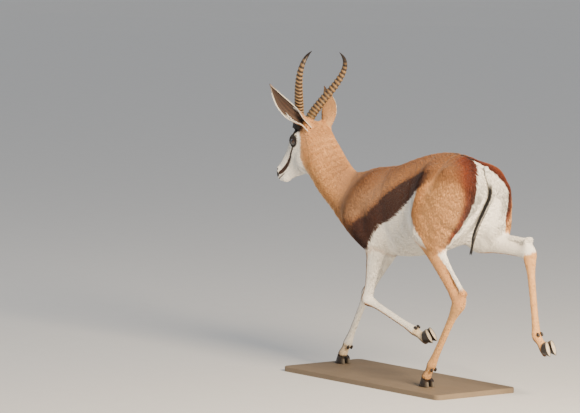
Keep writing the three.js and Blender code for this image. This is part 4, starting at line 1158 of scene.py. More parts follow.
def leg_places(q):
    """For each leg: distance from its bones, the bone number, the place along it, and the
    outward and rearward offsets, each divided by the distance."""
    found = {}
    for leg, places in JOINTS.items():
        best = np.full(len(q), FAR)
        bone, along = np.zeros(len(q)), np.zeros(len(q))
        outer, rear = np.zeros(len(q)), np.zeros(len(q))
        for i, (a, b) in enumerate(zip(places[:-1], places[1:])):
            long = np.linalg.norm(b - a)
            d = (b - a) / long
            t = np.clip(dot(q - a, d) / long, 0, 1)
            away = q - a - (b - a) * t[:, None]
            dist = np.linalg.norm(away, axis=1)
            out = across(d, SIDEWAYS) * SIDE_OF[leg]
            back = rear_of(d)
            hit = dist < best
            best = np.where(hit, dist, best)
            for store, value in ((bone, i), (along, t), (outer, dot(away, out) / dist),
                                 (rear, dot(away, back) / dist)):
                store[hit] = np.broadcast_to(value, len(q))[hit]
        found[leg] = (best, bone, along, outer, rear)
    return found


def lower_leg_masks(q):
    """1 on the flesh below each elbow or stifle, by comparing that leg's own field with
    the body's."""
    body = field_of(BODY[: len(BODY) - 4], q)
    return {leg: smooth(-8, 10, body - field_of([lower], q))
            for (leg, (_, lower)) in leg_forms.items()}


# %% [markdown]
# The coat's colour is laid on in layers, from the wide ones to the small ones: back,
# belly, flank band, rump, legs, and last the face.

# %% Body markings
def trunk_colour(q):
    """Back, shoulder and thigh, then the white belly, and the dark band over its edge. The
    shoulder's greyer brown and the brown in front of the left elbow are partly painted shade.
    """
    colour = np.tile(CINNAMON, (len(q), 1))
    x, z, side = q[:, 0], q[:, 2], np.abs(q[:, 1])
    spine = np.interp(x, [-400, -225, 0, 180, 300], [690, 736, 786, 815, 778])
    depth = spine - z
    # The fore quarters take the shoulder's greyer brown: partly the hair's own tone, partly painted
    # shade.
    front = smooth(-40, -200, x) * smooth(-470, -330, x)
    colour = lay_on(colour, SHADED_SHOULDER, front * 0.85)
    colour = lay_on(colour, BACK, smooth(110, 12, depth) * smooth(-400, -260, x) * 0.8)
    colour = lay_on(colour, THIGH, smooth(130, 190, x) * smooth(748, 700, z) * 0.95)
    stretch = 110 * (1 - smooth(-200, 60, x)) * (q[:, 1] > 0)
    rough = jagged(q, 9, 3.5)
    top = np.interp(x + stretch, BAND_TOP[:, 0], BAND_TOP[:, 1]) + rough
    foot = np.interp(x + stretch, BAND_FOOT[:, 0], BAND_FOOT[:, 1]) + jagged(q + 40, 9, 3.5)
    edge = np.interp(z, THIGH_EDGE[:, 1], THIGH_EDGE[:, 0])
    within = np.maximum(smooth(edge + 3, edge - 3, x), smooth(102, 88, side) * (z < 590))
    trunk_only = smooth(-440, -400, x) * within * (x < 262)
    belly = smooth(foot + 2, foot - 2, z) * trunk_only * (x > -330)
    chest = smooth(66, 46, side) * smooth(512, 478, z) * smooth(-470, -430, x) * (x < 0)
    # Brown in front of the left elbow, on the left side only: partly the hair's own darker tone,
    # partly painted shade.
    elbow_brown_and_shade = smooth(-230, -262, x) * smooth(-375, -345, x) * smooth(570, 540, z) * (z > 420)
    colour = lay_on(colour, BACK, elbow_brown_and_shade * smooth(40, 70, side) * (q[:, 1] < 0))
    colour = lay_on(colour, WHITE, np.maximum(belly, chest))
    band = smooth(foot - 2, foot + 2, z) * smooth(top + 5, top - 4, z)
    fade = smooth(215, 110, x) * smooth(-345, -262, x + stretch) * smooth(30, 55, side)
    colour = lay_on(colour, BACK, smooth(34, 0, z - top) * fade * (z > top) * 0.75)
    return lay_on(colour, FLANK, band * fade * 0.97)


def neck_colour(colour, q):
    """A brighter nape and sides, and a paler strip down the throat."""
    neck_line = np.array([r[:3] for r in NECK[1:]], float)
    _, t = near_polyline(q, neck_line)
    at = t * (len(neck_line) - 1)
    i = np.clip(at.astype(int), 0, len(neck_line) - 2)
    away = unit(q - mix(neck_line[i], neck_line[i + 1], (at - i)[:, None]))
    throat = smooth(0.55, 0.97, dot(away, unit(vec(-0.86, -0.2, -0.45))))
    on_neck = smooth(-375, -450, q[:, 0]) * (q[:, 2] > 520)
    colour = lay_on(colour, NECK_TAN, on_neck * smooth(560, 680, q[:, 2]))
    return lay_on(colour, CREAM, throat * on_neck * 0.5)


def leg_colour(colour, q):
    """Tan and white by the angle round each bone, with brown on fronts and crowns."""
    on_lower, legs = lower_leg_masks(q), leg_places(q)
    nearest = np.minimum.reduce([values[0] for values in legs.values()])
    for leg, (dist, bone, along, outer, rear) in legs.items():
        lower = on_lower[leg] * smooth(110, 80, dist) * (dist <= nearest + 1)
        shank, shin = lower * (bone == 1), lower * (bone == 2)
        foot = (bone == 3) * smooth(60, 40, dist) * (dist <= nearest + 1)
        if leg.endswith("hind"):
            thigh = ((bone <= 1) * smooth(175, 130, dist) * (q[:, 0] > 90)
                     * smooth(640, 590, q[:, 2]))
            inner = smooth(-0.3, -0.5, outer)
            string = (smooth(0.86, 0.95, rear) * smooth(0.1, 0.3, along)
                      * smooth(0.93, 0.86, along) * (dist > 38))
            if leg.startswith("right"):
                string = np.maximum(string, smooth(0.3, 0.6, rear) * smooth(0.7, 0.4, outer))
            colour = lay_on(colour, THIGH, shank * (1 - inner))
            colour = lay_on(colour, WHITE, np.maximum(thigh, lower) * inner * (bone <= 1))
            colour = lay_on(colour, WHITE, shank * string)
            colour = lay_on(colour, LEG_TAN, shin)
            colour = lay_on(colour, LEG_BROWN, shin * smooth(-0.72, -0.93, rear) * 0.6)
            # A brown line where the groove between tendon and cannon bone runs: painted shade in
            # the groove.
            groove = smooth(0.16, 0.05, np.abs(rear - 0.25)) * (along > 0.12) * (along < 0.9)
            colour = lay_on(colour, LEG_BROWN, shin * groove * 0.35)
            colour = lay_on(colour, LEG_TAN, foot)
        else:
            white = np.maximum(smooth(-0.4, -0.1, rear), smooth(-0.2, -0.6, outer))
            colour = lay_on(colour, LEG_TAN, lower * 0.9)
            colour = lay_on(colour, WHITE, lower * white)
            colour = lay_on(colour, LEG_BROWN, shin * smooth(-0.3, -0.62, rear) * 0.9)
            colour = lay_on(colour, LEG_BROWN, shank * smooth(-0.25, -0.6, rear) * 0.85)
            colour = lay_on(colour, CREAM, foot)
        colour = lay_on(colour, LEG_BROWN, foot * smooth(0.1, -0.5, rear) * 0.8)
        crown = np.linalg.norm(q - mix(JOINTS[leg][3], JOINTS[leg][4], 0.7), axis=1)
        colour = lay_on(colour, LEG_BROWN, foot * smooth(28, 18, crown) * 0.6)
        knee = np.linalg.norm(q - JOINTS[leg][2], axis=1)
        colour = lay_on(colour, LEG_BROWN, smooth(-0.5, -0.9, rear) * smooth(40, 22, knee)
                        * lower * 0.6)
    return colour


def rump_colour(colour, q):
    """White inside the edge, chestnut outside it, and a dark line on the spine."""
    edge = rump_masks(q) + jagged(q, 8, 2.2)
    x, z = q[:, 0], q[:, 2]
    width = np.interp(z, [540, 600, 660, 720, 790], [26, 34, 46, 72, 88])
    near = smooth(width, width * 0.4, edge) * (edge > -4) * (x > 150) * smooth(505, 545, z)
    colour = lay_on(colour, CHESTNUT, near * 0.95)
    deep = smooth(width * 0.6, width * 0.1, edge) * (edge > -4) * (x > 170) * smooth(560, 640, z)
    colour = lay_on(colour, DARK_CHESTNUT, deep * 0.8)
    line = smooth(6.5, 4, np.abs(q[:, 1])) * smooth(140, 165, x) * smooth(276, 262, x) * (z > 700)
    colour = lay_on(colour, EYE_RIM, line * 0.9)
    return lay_on(colour, WHITE, smooth(1.5, -1.5, edge))


# %% [markdown]
# The face is white, with a brown forehead, a dark stripe from the eye to the corner of
# the mouth, and black round the eyes and on the nose. It is drawn in the head's frame.

# %% Face markings
STRIPE_PATH = np.array([(16, 34, -13), (30, 30, -17), (48, 26, -25), (66, 24, -36), (84, 21, -45),
                        (104, 19, -50), (124, 18, -52), (138, 14, -50)], float)
BROW_PATH = np.array([(6, 44, 20), (-10, 38, 26), (-24, 33, 38), (-34, 30, 56)], float)
mouth_line = mouth_path()
nostril_lines = [n["p"] for n in NOSTRILS]


def face_colour(colour, q):
    h = in_head(q)
    f, l, d = h[:, 0], np.abs(h[:, 1]), h[:, 2]
    on_head = (q[:, 0] < -470) & (f > -150) & (d > -190)
    if not on_head.any():
        return colour
    folded = np.stack([f, l, d], 1)
    edge = np.interp(d, [-124, -110, -90, -68, -51, -19, 2, 34, 60],
                     [15, 3, 0, -2, -14, -32, -35, -34, -30]) + jagged(q, 6, 2)
    face = smooth(edge - 3, edge + 3, f)
    colour = lay_on(colour, WHITE, face * on_head)
    half = np.interp(f, [-45, -10, 25, 50, 62], [34, 30, 19, 9, 1])
    top = smooth(half + 3, half - 3, l) * smooth(66, 48, f) * (d > -10)
    top = top * smooth(-56, -44, f)
    colour = lay_on(colour, FOREHEAD, top * on_head)
    border = smooth(7, 3, np.abs(l - half + 3)) * (d > 2) * (f > -38) * smooth(52, 36, f)
    colour = lay_on(colour, STRIPE, border * on_head * 0.85)
    near, along = near_polyline(folded, STRIPE_PATH)
    wide = np.interp(along, [0, 0.15, 0.5, 0.85, 1], [4, 5, 8, 8, 6])
    colour = lay_on(colour, STRIPE, smooth(wide + 1.5, wide - 1.5, near) * on_head)
    near, _ = near_polyline(folded, BROW_PATH)
    colour = lay_on(colour, EYE_RIM, smooth(13, 9, near) * on_head * 0.97)
    eye = np.linalg.norm((folded - vec(2, 33, 1)) / vec(1.15, 1, 1), axis=1)
    colour = lay_on(colour, EYE_RIM, smooth(25, 21.5, eye) * on_head)
    nose = smooth(140, 146, f) * smooth(-60, -54, d)
    lips = smooth(3.4, 2.0, near_polyline(q, mouth_line)[0]) * smooth(112, 128, f)
    holes = np.minimum(*(near_polyline(q, n)[0] for n in nostril_lines))
    colour = lay_on(colour, NOSE, np.maximum(nose, smooth(6, 4, holes)) * on_head)
    colour = lay_on(colour, NOSE, lips * on_head)
    # Grey along the mouth's line behind the lips: painted shade in the crease.
    mouth_crease_shade = smooth(2.4, 1.2, near_polyline(q, mouth_line)[0]) * smooth(90, 112, f)
    return lay_on(colour, GREY, mouth_crease_shade * on_head * 0.6)


def coat_colour(q):
    """Linear colour of the coat at any points on the skin."""
    q = np.asarray(q, float)
    colour = neck_colour(trunk_colour(q), q)
    return face_colour(rump_colour(leg_colour(colour, q), q), q)


# %% [markdown]
# Hair lies from the nose to the tail and down the legs. Every piece of the field knows
# which way it points, so the lie at a point is the mean of its nearest pieces, laid
# flat on the skin, with a little of the pull downwards.

# %% Lie of the coat
def lie_of(q):
    """Where the hair points: the pieces' own lie, weighted by exp(-distance / 16 mm)."""
    total = np.zeros((len(q), 3))
    for pick, centre in cubes(q):
        for f in BODY:
            near = pieces_near(f, centre, 60)
            if len(near):
                d = piece_distance(f, near, q[pick])
                weight = np.exp(-np.clip(d, -20, 90) / 16)
                total[pick] += np.einsum("sp,sk->pk", weight, f["lie"][near])
    return unit(unit(total) + vec(0.1, 0, -0.28))


skin_points = table_points(skin.data)
skin_colour = coat_colour(skin_points)
skin_normal = fetch(skin.data.vertex_normals, "vector", 3).astype(float)
set_attribute(skin.data, "coat", skin_colour)
print("painted", len(skin_colour), "vertices; mean colour", skin_colour.mean(0).round(3))

# %% [markdown]
# The lie is worked out at the skin's vertices and then evened out from each one to its
# neighbours, as on a brushed coat, so that no seam shows where two muscles meet.

# %% Smooth lie
LIE_ROUNDS = 14
skin_edges = fetch(skin.data.edges, "vertices", 2, np.int32)
lie = evened(lie_of(skin_points), skin_edges, LIE_ROUNDS)
skin_lie = unit(lie - skin_normal * dot(lie, skin_normal)[:, None])

# %% [markdown]
# A tuft is a blade of three rings: a root sunk in the skin, a wider middle and a point.
# Its three sides have a low ridge on top. Blades this flat shade together like one sleek
# coat, and their tips break the outline.

# %% Tufts
def unwrap(obj):
    """An unwrap of the skin's own shape: islands by the angle between faces."""
    bpy.context.view_layer.objects.active = obj
    obj.select_set(True)
    bpy.ops.object.mode_set(mode="EDIT")
    bpy.ops.mesh.select_all(action="SELECT")
    bpy.ops.uv.smart_project(angle_limit=np.radians(66), island_margin=0.002)
    bpy.ops.object.mode_set(mode="OBJECT")
    obj.select_set(False)
    uv = fetch(obj.data.uv_layers.active.data, "uv", 2)
    obj.data.uv_layers.remove(obj.data.uv_layers.active)
    return uv


skin_uv = unwrap(skin)
skin.data.calc_loop_triangles()
skin_corners, skin_loops = (fetch(skin.data.loop_triangles, key, 3, np.int32)
                            for key in ("vertices", "loops"))
corner_points = skin_points[skin_corners]
face_area = np.linalg.norm(np.cross(corner_points[:, 1] - corner_points[:, 0],
                                    corner_points[:, 2] - corner_points[:, 0]), axis=1) / 2
face_centre = corner_points.mean(1)
print("skin area", round(face_area.sum() / 1e6, 3), "square metres")

PATCH = 0.0015
TUFT_UV = np.array([(-1, -1), (1, -1), (0, -0.4), (-0.8, 0.2), (0.8, 0.2), (0, 0.5), (0, 1)])
TUFT_FACES = np.array([(0, 1, 4), (0, 4, 3), (1, 2, 5), (1, 5, 4), (2, 0, 3), (2, 3, 5),
                       (3, 4, 6), (4, 5, 6), (5, 3, 6), (0, 2, 1)])
SHADE = np.array([0.9, 0.9, 0.92, 0.99, 0.99, 1.0, 1.06])


def scatter(density, count):
    """Roots on the skin: faces drawn by area times density, and a random place in each."""
    weight = face_area * density
    face = rng.choice(len(weight), count, p=weight / weight.sum())
    a, b = rng.random((2, count))
    flip = a + b > 1
    a, b = np.where(flip, 1 - a, a), np.where(flip, 1 - b, b)
    share = np.stack([1 - a - b, a, b], 1)[..., None]
    take = lambda values, rows: (values[rows[face]] * share).sum(1)
    return {"root": take(skin_points, skin_corners),
            "normal": unit(take(skin_normal, skin_corners)),
            "lie": take(skin_lie, skin_corners), "uv": take(skin_uv, skin_loops)}


def tuft_mesh(name, roots, length, width, lift, colour, flat=0.25, sunk=0.7, spread=0.06):
    """Blades from roots: the middle ring lies at 45% of the length, and the tip bends
    back to the skin a little. flat is the ridge's height over the width."""
    n = roots["normal"]
    lie = unit(roots["lie"] - n * dot(roots["lie"], n)[:, None])
    side = np.cross(n, lie)
    root = roots["root"] - n * sunk
    length, width, lift = (np.broadcast_to(v, len(n))[:, None] for v in (length, width, lift))
    rise, run = np.sin(lift), np.cos(lift)
    middle = root + lie * (0.45 * length * run) + n * (0.5 * length * rise + sunk * 0.6)
    tip = root + lie * (length * run) + n * (length * rise * 0.8 + sunk * 0.5)
    points = np.stack([root + side * width * 0.4, root - side * width * 0.4,
                       root + n * width * flat, middle + side * width * 0.5,
                       middle - side * width * 0.5, middle + n * width * flat, tip], 1)
    faces = (TUFT_FACES[None] + np.arange(len(n))[:, None, None] * len(TUFT_UV)).reshape(-1, 3)
    made = mesh_object(name, points.reshape(-1, 3), faces)
    shade = rng.normal(1, spread, (len(n), 1)) * SHADE
    tint = np.clip(colour[:, None] * shade[..., None], 0, 1)
    set_attribute(made.data, "coat", tint.reshape(-1, 3))
    uv = roots["uv"][:, None] + TUFT_UV * PATCH
    layer = made.data.uv_layers.new(name="OFBake")
    layer.data.foreach_set("uv", uv.reshape(-1, 2)[faces.ravel()].astype(np.float32).ravel())
    return made


def grow(name, density, count, length, width, lift, wander=0.07, spread=0.06):
    """One coat piece: roots, a little disorder in the lie, and colour by position."""
    roots = scatter(density, count)
    roots["lie"] = roots["lie"] + rng.normal(0, wander, (count, 3))
    vary = lambda v: v(roots["root"]) if callable(v) else v
    sizes = [vary(v) * rng.uniform(0.8, 1.2, count) for v in (length, width, lift)]
    return tuft_mesh(name, roots, *sizes, coat_colour(roots["root"]), spread=spread)


# %% [markdown]
# The coat is grown region by region, so that no piece passes two hundred thousand
# triangles. It is longest on the rump and belly, and smallest on the face and feet.

# %% Coat by region
fx, fz = face_centre[:, 0], face_centre[:, 2]
face_h = in_head(face_centre)
is_head = (fx < HEAD_REAR) & (face_h[:, 0] > -60) & (face_h[:, 2] > -150)
lower_share = np.maximum.reduce(list(lower_leg_masks(face_centre).values()))
is_leg = (lower_share > 0.5) & (fz < 520)
is_bare = is_head & ((from_eyes(face_centre) < EYE["radius"] + 3.5) | (face_h[:, 0] > 143))
foot_near = below_knee(face_centre)
body_part = ~is_head & ~is_leg
DENSE = 1.0
TUFTS = 19500  # in each region, at ten triangles each


def rump_length(q):
    """Longer white hair near the edge of the rump patch and along the spine."""
    return 17 + 9 * smooth(40, 0, np.abs(rump_masks(q)))


def leg_length(q):
    return mix(13, 7, below_knee(q))


def face_length(q):
    """Down to 4 mm at the nose."""
    return mix(8.5, 4.0, smooth(40, 130, in_head(q)[:, 0]))


REGIONS = [
    ("coat_neck", body_part & (fx < -330), 17, 2.1, 5.5),
    ("coat_fore", body_part & (fx >= -330) & (fx < -60), 18, 2.2, 4.6),
    ("coat_middle", body_part & (fx >= -60) & (fx <= 215), 18, 2.2, 4.6),
    ("coat_rump", body_part & (fx > 215), rump_length, 2.2, 5.5),
    ("coat_legs", is_leg * (1 + foot_near), leg_length, 1.5, 6),
    ("coat_face", (is_head & ~is_bare) * mix(0.8, 2.0, smooth(40, 120, face_h[:, 0])),
     face_length, 1.05, 7),
]
coats = [grow(name, np.asarray(where, float), int(TUFTS * DENSE), length, width, np.radians(lift))
         for name, where, length, width, lift in REGIONS]
print("coat:", sum(len(c.data.polygons) for c in coats), "triangles in", len(coats), "pieces")

# %% [markdown]
# Long hair on other pieces is the same blade, rooted on a surface of two parameters:
# the tail's tube, the rims and insides of the ears, and the collar round each horn.

# %% Long hair on tail, ears and horn bases
def turned(normal, wrong):
    """The normals, turned over where they point the wrong way."""
    return np.where(wrong[:, None], -normal, normal)


def joined(parts):
    """Several sets of roots as one."""
    return {key: np.concatenate([part[key] for part in parts]) for key in parts[0]}


def surface_roots(surface, t, v):
    """Roots, normals and lie from a surface function: finite steps along t and v."""
    step = 0.004
    p, along, over = surface(t, v), surface(t + step, v), surface(t, v + step)
    lie, other = unit(along - p), unit(over - p)
    return {"root": p, "normal": unit(np.cross(other, lie)), "lie": lie,
            "uv": np.stack([t, v], 1) * 0.15 + 0.02}


def tail_surface(t, v):
    """The tail's tube at t along it and v turns round it; v 0 faces the rear."""
    _, s, u = path_frames(tail_path, SIDEWAYS)
    where, s, u = (rows_at(t, tail_t, rows) for rows in (tail_path, s, u))
    r = tail_radius(t)[:, None] * (1 - 0.55 * smooth(0.8, 0.95, t))[:, None]
    angle = (v * 2 * np.pi)[:, None]
    return where + u * r * np.cos(angle) * 0.8 + s * r * np.sin(angle) * 1.1


def tail_colour(t, v):
    """White above; two black lines from a third of the way down, grey between them,
    and a black tip."""
    turn = (v + 0.5) % 1 - 0.5
    colour = np.tile(WHITE, (len(t), 1))
    colour = lay_on(colour, GREY, smooth(0.45, 0.6, t) * 0.6)
    left = smooth(0.17, 0.11, np.abs(turn + 0.2)) * smooth(0.1, 0.2, t)
    right = smooth(0.08, 0.04, np.abs(turn - 0.12)) * smooth(0.34, 0.44, t)
    tip = smooth(0.74, 0.86, t)
    return lay_on(colour, BLACK, np.maximum.reduce([left, right, tip]))


n = int(4200 * DENSE)
t, v = rng.random(n) ** 0.85 * 0.985, rng.random(n)
roots = surface_roots(tail_surface, t, v)
outwards = dot(roots["normal"], tail_surface(t, v) - rows_at(t, tail_t, tail_path)) > 0
roots["normal"] = turned(roots["normal"], ~outwards)
roots["lie"] = roots["lie"] + rng.normal(0, 0.05, (n, 3))
core_t = np.repeat(core_along, TAIL_SIDES)
core_v = np.tile(0.25 - circle(TAIL_SIDES) / (2 * np.pi), len(core_along))
core_t, core_v = (np.r_[values, values[0], values[-1]] for values in (core_t, core_v))
set_attribute(tail_core.data, "coat", tail_colour(core_t, core_v))
tail_hair = tuft_mesh("tail_hair", roots, mix(20, 30, t**1.5) * rng.uniform(0.8, 1.15, n),
                      mix(2.4, 1.8, t), np.radians(mix(13, 7, t)), tail_colour(t, v), 0.35, 0.5)

ear_coats, ear_fringes = [], []
for name, ear_label in (("left_ear", "left"), ("right_ear", "right")):
    ear = ear_frame(name)
    back = lambda t, v: ear_surface(ear, t, v, 0.0)
    n = int(5200 * DENSE)
    t, v = rng.random(n) ** 0.8 * 0.97, rng.uniform(-0.97, 0.97, n)
    roots = surface_roots(back, t, v)
    flip = dot(roots["normal"], ear["open"]) * np.cos(v * 1.2) > 0
    roots["normal"] = turned(roots["normal"], flip)
    roots["lie"] = roots["lie"] + rng.normal(0, 0.06, (n, 3))
    colour = lay_on(np.tile(THIGH, (n, 1)), BACK, smooth(0.75, 1.0, t) * 0.8)
    ear_coats.append(tuft_mesh(f"ear_coat_{ear_label}", roots, 7.5 * rng.uniform(0.8, 1.2, n), 1.1,
                               np.radians(5), colour, 0.25, 0.4))
    n = int(900 * DENSE)
    t = np.tile(rng.random(n // 2) * 0.82 + 0.02, 2)
    edge = np.repeat([-1.0, 1.0], n // 2)
    rim = surface_roots(back, t, edge * 0.985)
    rim["normal"] = unit(ear["side"] * np.sign(dot(rim["root"] - ear["root"], ear["side"]))[:, None]
                         + ear["open"] * 0.6)
    rim["lie"] = rim["lie"] + rng.normal(0, 0.08, (len(t), 3)) + ear["open"] * 0.1
    m = int(200 * DENSE)
    ti, vi = rng.random(m) ** 1.3 * 0.3 + 0.01, rng.choice([-1, 1], m) * rng.uniform(0.45, 0.93, m)
    inner = surface_roots(lambda a, b: ear_surface(ear, a, b, EAR_WALL), ti, vi)
    flip = dot(inner["normal"], ear["open"]) * np.cos(vi * 1.2) < 0
    inner["normal"] = turned(inner["normal"], flip)
    both = joined([rim, inner])
    size = np.r_[5 * rng.uniform(0.7, 1.2, len(t)), 20 * rng.uniform(0.6, 1.2, m)]
    lift = np.radians(np.r_[np.full(len(t), 16.0), np.full(m, 9.0)])
    ear_fringes.append(tuft_mesh(f"ear_fringe_{ear_label}", both, size, 1.2, lift,
                                 np.tile(WHITE, (len(size), 1)), 0.3, 0.3, 0.04))
print("tail and ears:", len(tail_hair.data.polygons), "and",
      [len(e.data.polygons) for e in ear_coats + ear_fringes])


def horn_collar():
    """Dark hair that stands round the root of both horns and hides where they enter."""
    made = []
    for l in (1, -1):
        path = bezier([head_point(f, s * l, d) for f, s, d in HORN_CURVE], 40)
        axis = unit(path[2] - path[0])
        n = int(900 * DENSE)
        angle = rng.random(n) * 2 * np.pi
        a = across(axis, F)
        b = np.cross(axis, a)
        out = a * np.cos(angle)[:, None] + b * np.sin(angle)[:, None]
        near = path[0] + out * (HORN_BASE + rng.uniform(0.5, 4, n))[:, None]
        near = draw_on(flesh, near, 3, 4.0)
        lie = np.tile(axis, (n, 1)) + rng.normal(0, 0.08, (n, 3))
        made.append({"root": near, "normal": out, "lie": lie,
                     "uv": np.stack([angle / 60, angle * 0], 1) + 0.9})
    both = joined(made)
    n = len(both["root"])
    ahead = smooth(-0.2, 0.4, dot(both["normal"], F))
    colour = lay_on(np.tile(NECK_TAN, (n, 1)), EYE_RIM, ahead)
    return tuft_mesh("horn_collar", both, 19 * rng.uniform(0.6, 1.25, n), 1.7, np.radians(7),
                     colour, 0.3, 1.0)


collar = horn_collar()

# %% [markdown]
# A finish is a small web of nodes. One class wraps a socket, so that a formula is
# written as sums and products of sockets and numbers, and each becomes a Math node.

# %% Sockets that can be added and multiplied
def both_ways(operation):
    """An operator's method, as for wire - 1, and its reflected form, as for 1 - wire."""
    return (lambda self, other: self.math(operation, self, other),
            lambda self, other: self.math(operation, other, self))


class Wire:
    """A node's output, with arithmetic: + - * / ** make Math nodes."""

    def __init__(self, tree, socket):
        self.tree, self.socket = tree, socket

    def node(self, kind, settings=None, inputs=None, output=0):
        """Any other node: its type, its settings first, then its inputs by name or
        number, each a value or a Wire."""
        made = self.tree.nodes.new(kind)
        for key, value in (settings or {}).items():
            setattr(made, key, value)
        for key, value in (inputs or {}).items():
            if isinstance(value, Wire):
                self.tree.links.new(value.socket, made.inputs[key])
            elif value is not None:
                made.inputs[key].default_value = value
        return Wire(self.tree, made.outputs[output])

    def math(self, operation, a, b=None, clamp=False):
        return self.node("ShaderNodeMath", {"operation": operation, "use_clamp": clamp},
                         {0: a, 1: b})

    __add__, __radd__ = both_ways("ADD")
    __sub__, __rsub__ = both_ways("SUBTRACT")
    __mul__, __rmul__ = both_ways("MULTIPLY")
    __truediv__, __rtruediv__ = both_ways("DIVIDE")
    __pow__, __rpow__ = both_ways("POWER")

    def clamped(self):
        return self.math("ADD", self, 0.0, clamp=True)

    def between(self, low, high):
        """0 below low, 1 above high, and a straight ramp between."""
        return ((self - low) / (high - low)).clamped()

    def tinted(self, first, second):
        """A colour that goes from first, where this is 0, to second, where it is 1."""
        ends = [c if isinstance(c, Wire) else (*map(float, c), 1.0) for c in (first, second)]
        return self.node("ShaderNodeMix", {"data_type": "RGBA", "clamp_factor": True},
                         {0: self, 6: ends[0], 7: ends[1]}, output=2)

    def times_colour(self, other):
        return self.node("ShaderNodeVectorMath", {"operation": "MULTIPLY"}, {0: self, 1: other})

    def scaled(self, factor):
        """This colour or vector times one number."""
        return self.node("ShaderNodeVectorMath", {"operation": "SCALE"}, {0: self, "Scale": factor})


def finish(name, build, **constants):
    """A material: build gets a Wire to start from and returns what feeds the shader."""
    made = bpy.data.materials.new(name)
    made.use_nodes = True
    tree = made.node_tree
    shader = tree.nodes["Principled BSDF"]
    for key, value in constants.items():
        shader.inputs[key.replace("_", " ")].default_value = value
    for key, wire in build(Wire(tree, shader.outputs[0])).items():
        tree.links.new(wire.socket, shader.inputs[key])
    return made


def place_of(w):
    return w.node("ShaderNodeTexCoord", output="Object")


def value_of(w, name):
    return w.node("ShaderNodeAttribute", {"attribute_name": name}, output="Fac")


def colour_of(w, name):
    return w.node("ShaderNodeAttribute", {"attribute_name": name}, output="Color")


def grain(w, where, scale, detail=3.0, rough=0.55, stretch=None):
    """Noise from 0 to 1, finer as scale rises; stretch squeezes it along the axes."""
    if stretch:
        where = where.times_colour(stretch)
    return w.node("ShaderNodeTexNoise", {"noise_dimensions": "3D"},
                  {"Vector": where, "Scale": scale, "Detail": detail, "Roughness": rough})


def bumped(w, height, strength, distance):
    return w.node("ShaderNodeBump", {}, {"Height": height, "Strength": strength,
                                         "Distance": distance})


# %% [markdown]
# Coat: the painted colour, broken up by fine noise at the width of a hair clump and by
# broad patches where the hair is a little darker, with a bump of the same noise.

# %% Coat finish
def coat_build(w):
    where = place_of(w)
    hairs = grain(w, where, 900, 2, 0.6, (0.35, 1.0, 1.0))
    clumps = grain(w, where, 190, 3, 0.6)
    patches = grain(w, where, 26, 2, 0.5)
    light = 0.82 + hairs * 0.2 + clumps * 0.1 + patches * 0.07
    return {"Base Color": colour_of(w, "coat").scaled(light),
            "Roughness": 0.62 + clumps * 0.2,
            "Normal": bumped(w, hairs + clumps * 0.6, 0.3, 0.0006)}


coat_paint = finish("coat", coat_build, Specular_IOR_Level=0.28, Sheen_Weight=0.12,
                    Sheen_Roughness=0.45)


def tuft_build(w):
    where = place_of(w)
    clumps = grain(w, where, 190, 3, 0.6)
    patches = grain(w, where, 26, 2, 0.5)
    light = 0.93 + clumps * 0.12 + patches * 0.07
    return {"Base Color": colour_of(w, "coat").scaled(light), "Roughness": 0.6 + clumps * 0.15}


tuft_paint = finish("coat_tufts", tuft_build, Specular_IOR_Level=0.3, Sheen_Weight=0.1,
                    Sheen_Roughness=0.45)

# %% [markdown]
# Horn: brown ridges with dark grooves between them, fine lines that run up the horn, an
# olive-brown foot and a smooth dark tip. The dark of the grooves is partly the horn's own
# tone and partly painted shade. The rings' colour follows the attribute ridge, which holds
# the wave that shapes the horn. A hoof is dark with a pale sole, and an eye is dark brown and wet.

# %% Horn, hoof and eye finishes
def horn_build(w):
    where = place_of(w)
    along = value_of(w, "along")
    ridge = value_of(w, "ridge")
    lines = grain(w, where, 520, 4, 0.65, (1.0, 1.0, 0.22))
    stain = grain(w, where, 60, 3, 0.6)
    tip = along.between(0.74, 0.9)
    # Dark between the rings: partly the horn's own tone, partly painted shade in the grooves.
    ring_tone_and_groove_shade = (ridge.between(0.05, 0.45) * 0.85 + lines * 0.35 - 0.12).clamped()
    body = ring_tone_and_groove_shade.tinted(paint(30, 20, 14), paint(150, 118, 76))
    foot = (1 - along.between(0.02, 0.22)) * 0.6
    body = foot.tinted(body, paint(106, 88, 52))
    body = ((stain - 0.45) * 1.6).clamped().tinted(body, paint(84, 60, 40))
    colour = tip.tinted(body, paint(34, 26, 22))
    colour = (1 - along.between(0.035, 0.06)).tinted(colour, EYE_RIM)
    return {"Base Color": colour, "Roughness": 0.5 - tip * 0.16 + stain * 0.12,
            "Normal": bumped(w, lines, 0.5, 0.0006)}


horn_paint = finish("horn", horn_build, Specular_IOR_Level=0.5)


def hoof_build(w):
    """Black wall with growth lines across it, and a pale sole and bulb."""
    where = place_of(w)
    rise = value_of(w, "rise")
    sole = value_of(w, "sole")
    lines = grain(w, where, 700, 3, 0.6, (0.3, 0.3, 1.4))
    mud = grain(w, where, 130, 4, 0.65)
    wall = (mud * 0.6 + (1 - rise) * 0.15).clamped().tinted(paint(20, 17, 16), paint(62, 52, 46))
    pad = mud.tinted(paint(236, 224, 200), paint(150, 132, 110))
    return {"Base Color": sole.tinted(wall, pad), "Roughness": 0.36 + sole * 0.35 + mud * 0.15,
            "Normal": bumped(w, lines + mud * 0.8, 0.45, 0.0005)}


hoof_paint = finish("hoof", hoof_build, Specular_IOR_Level=0.5)


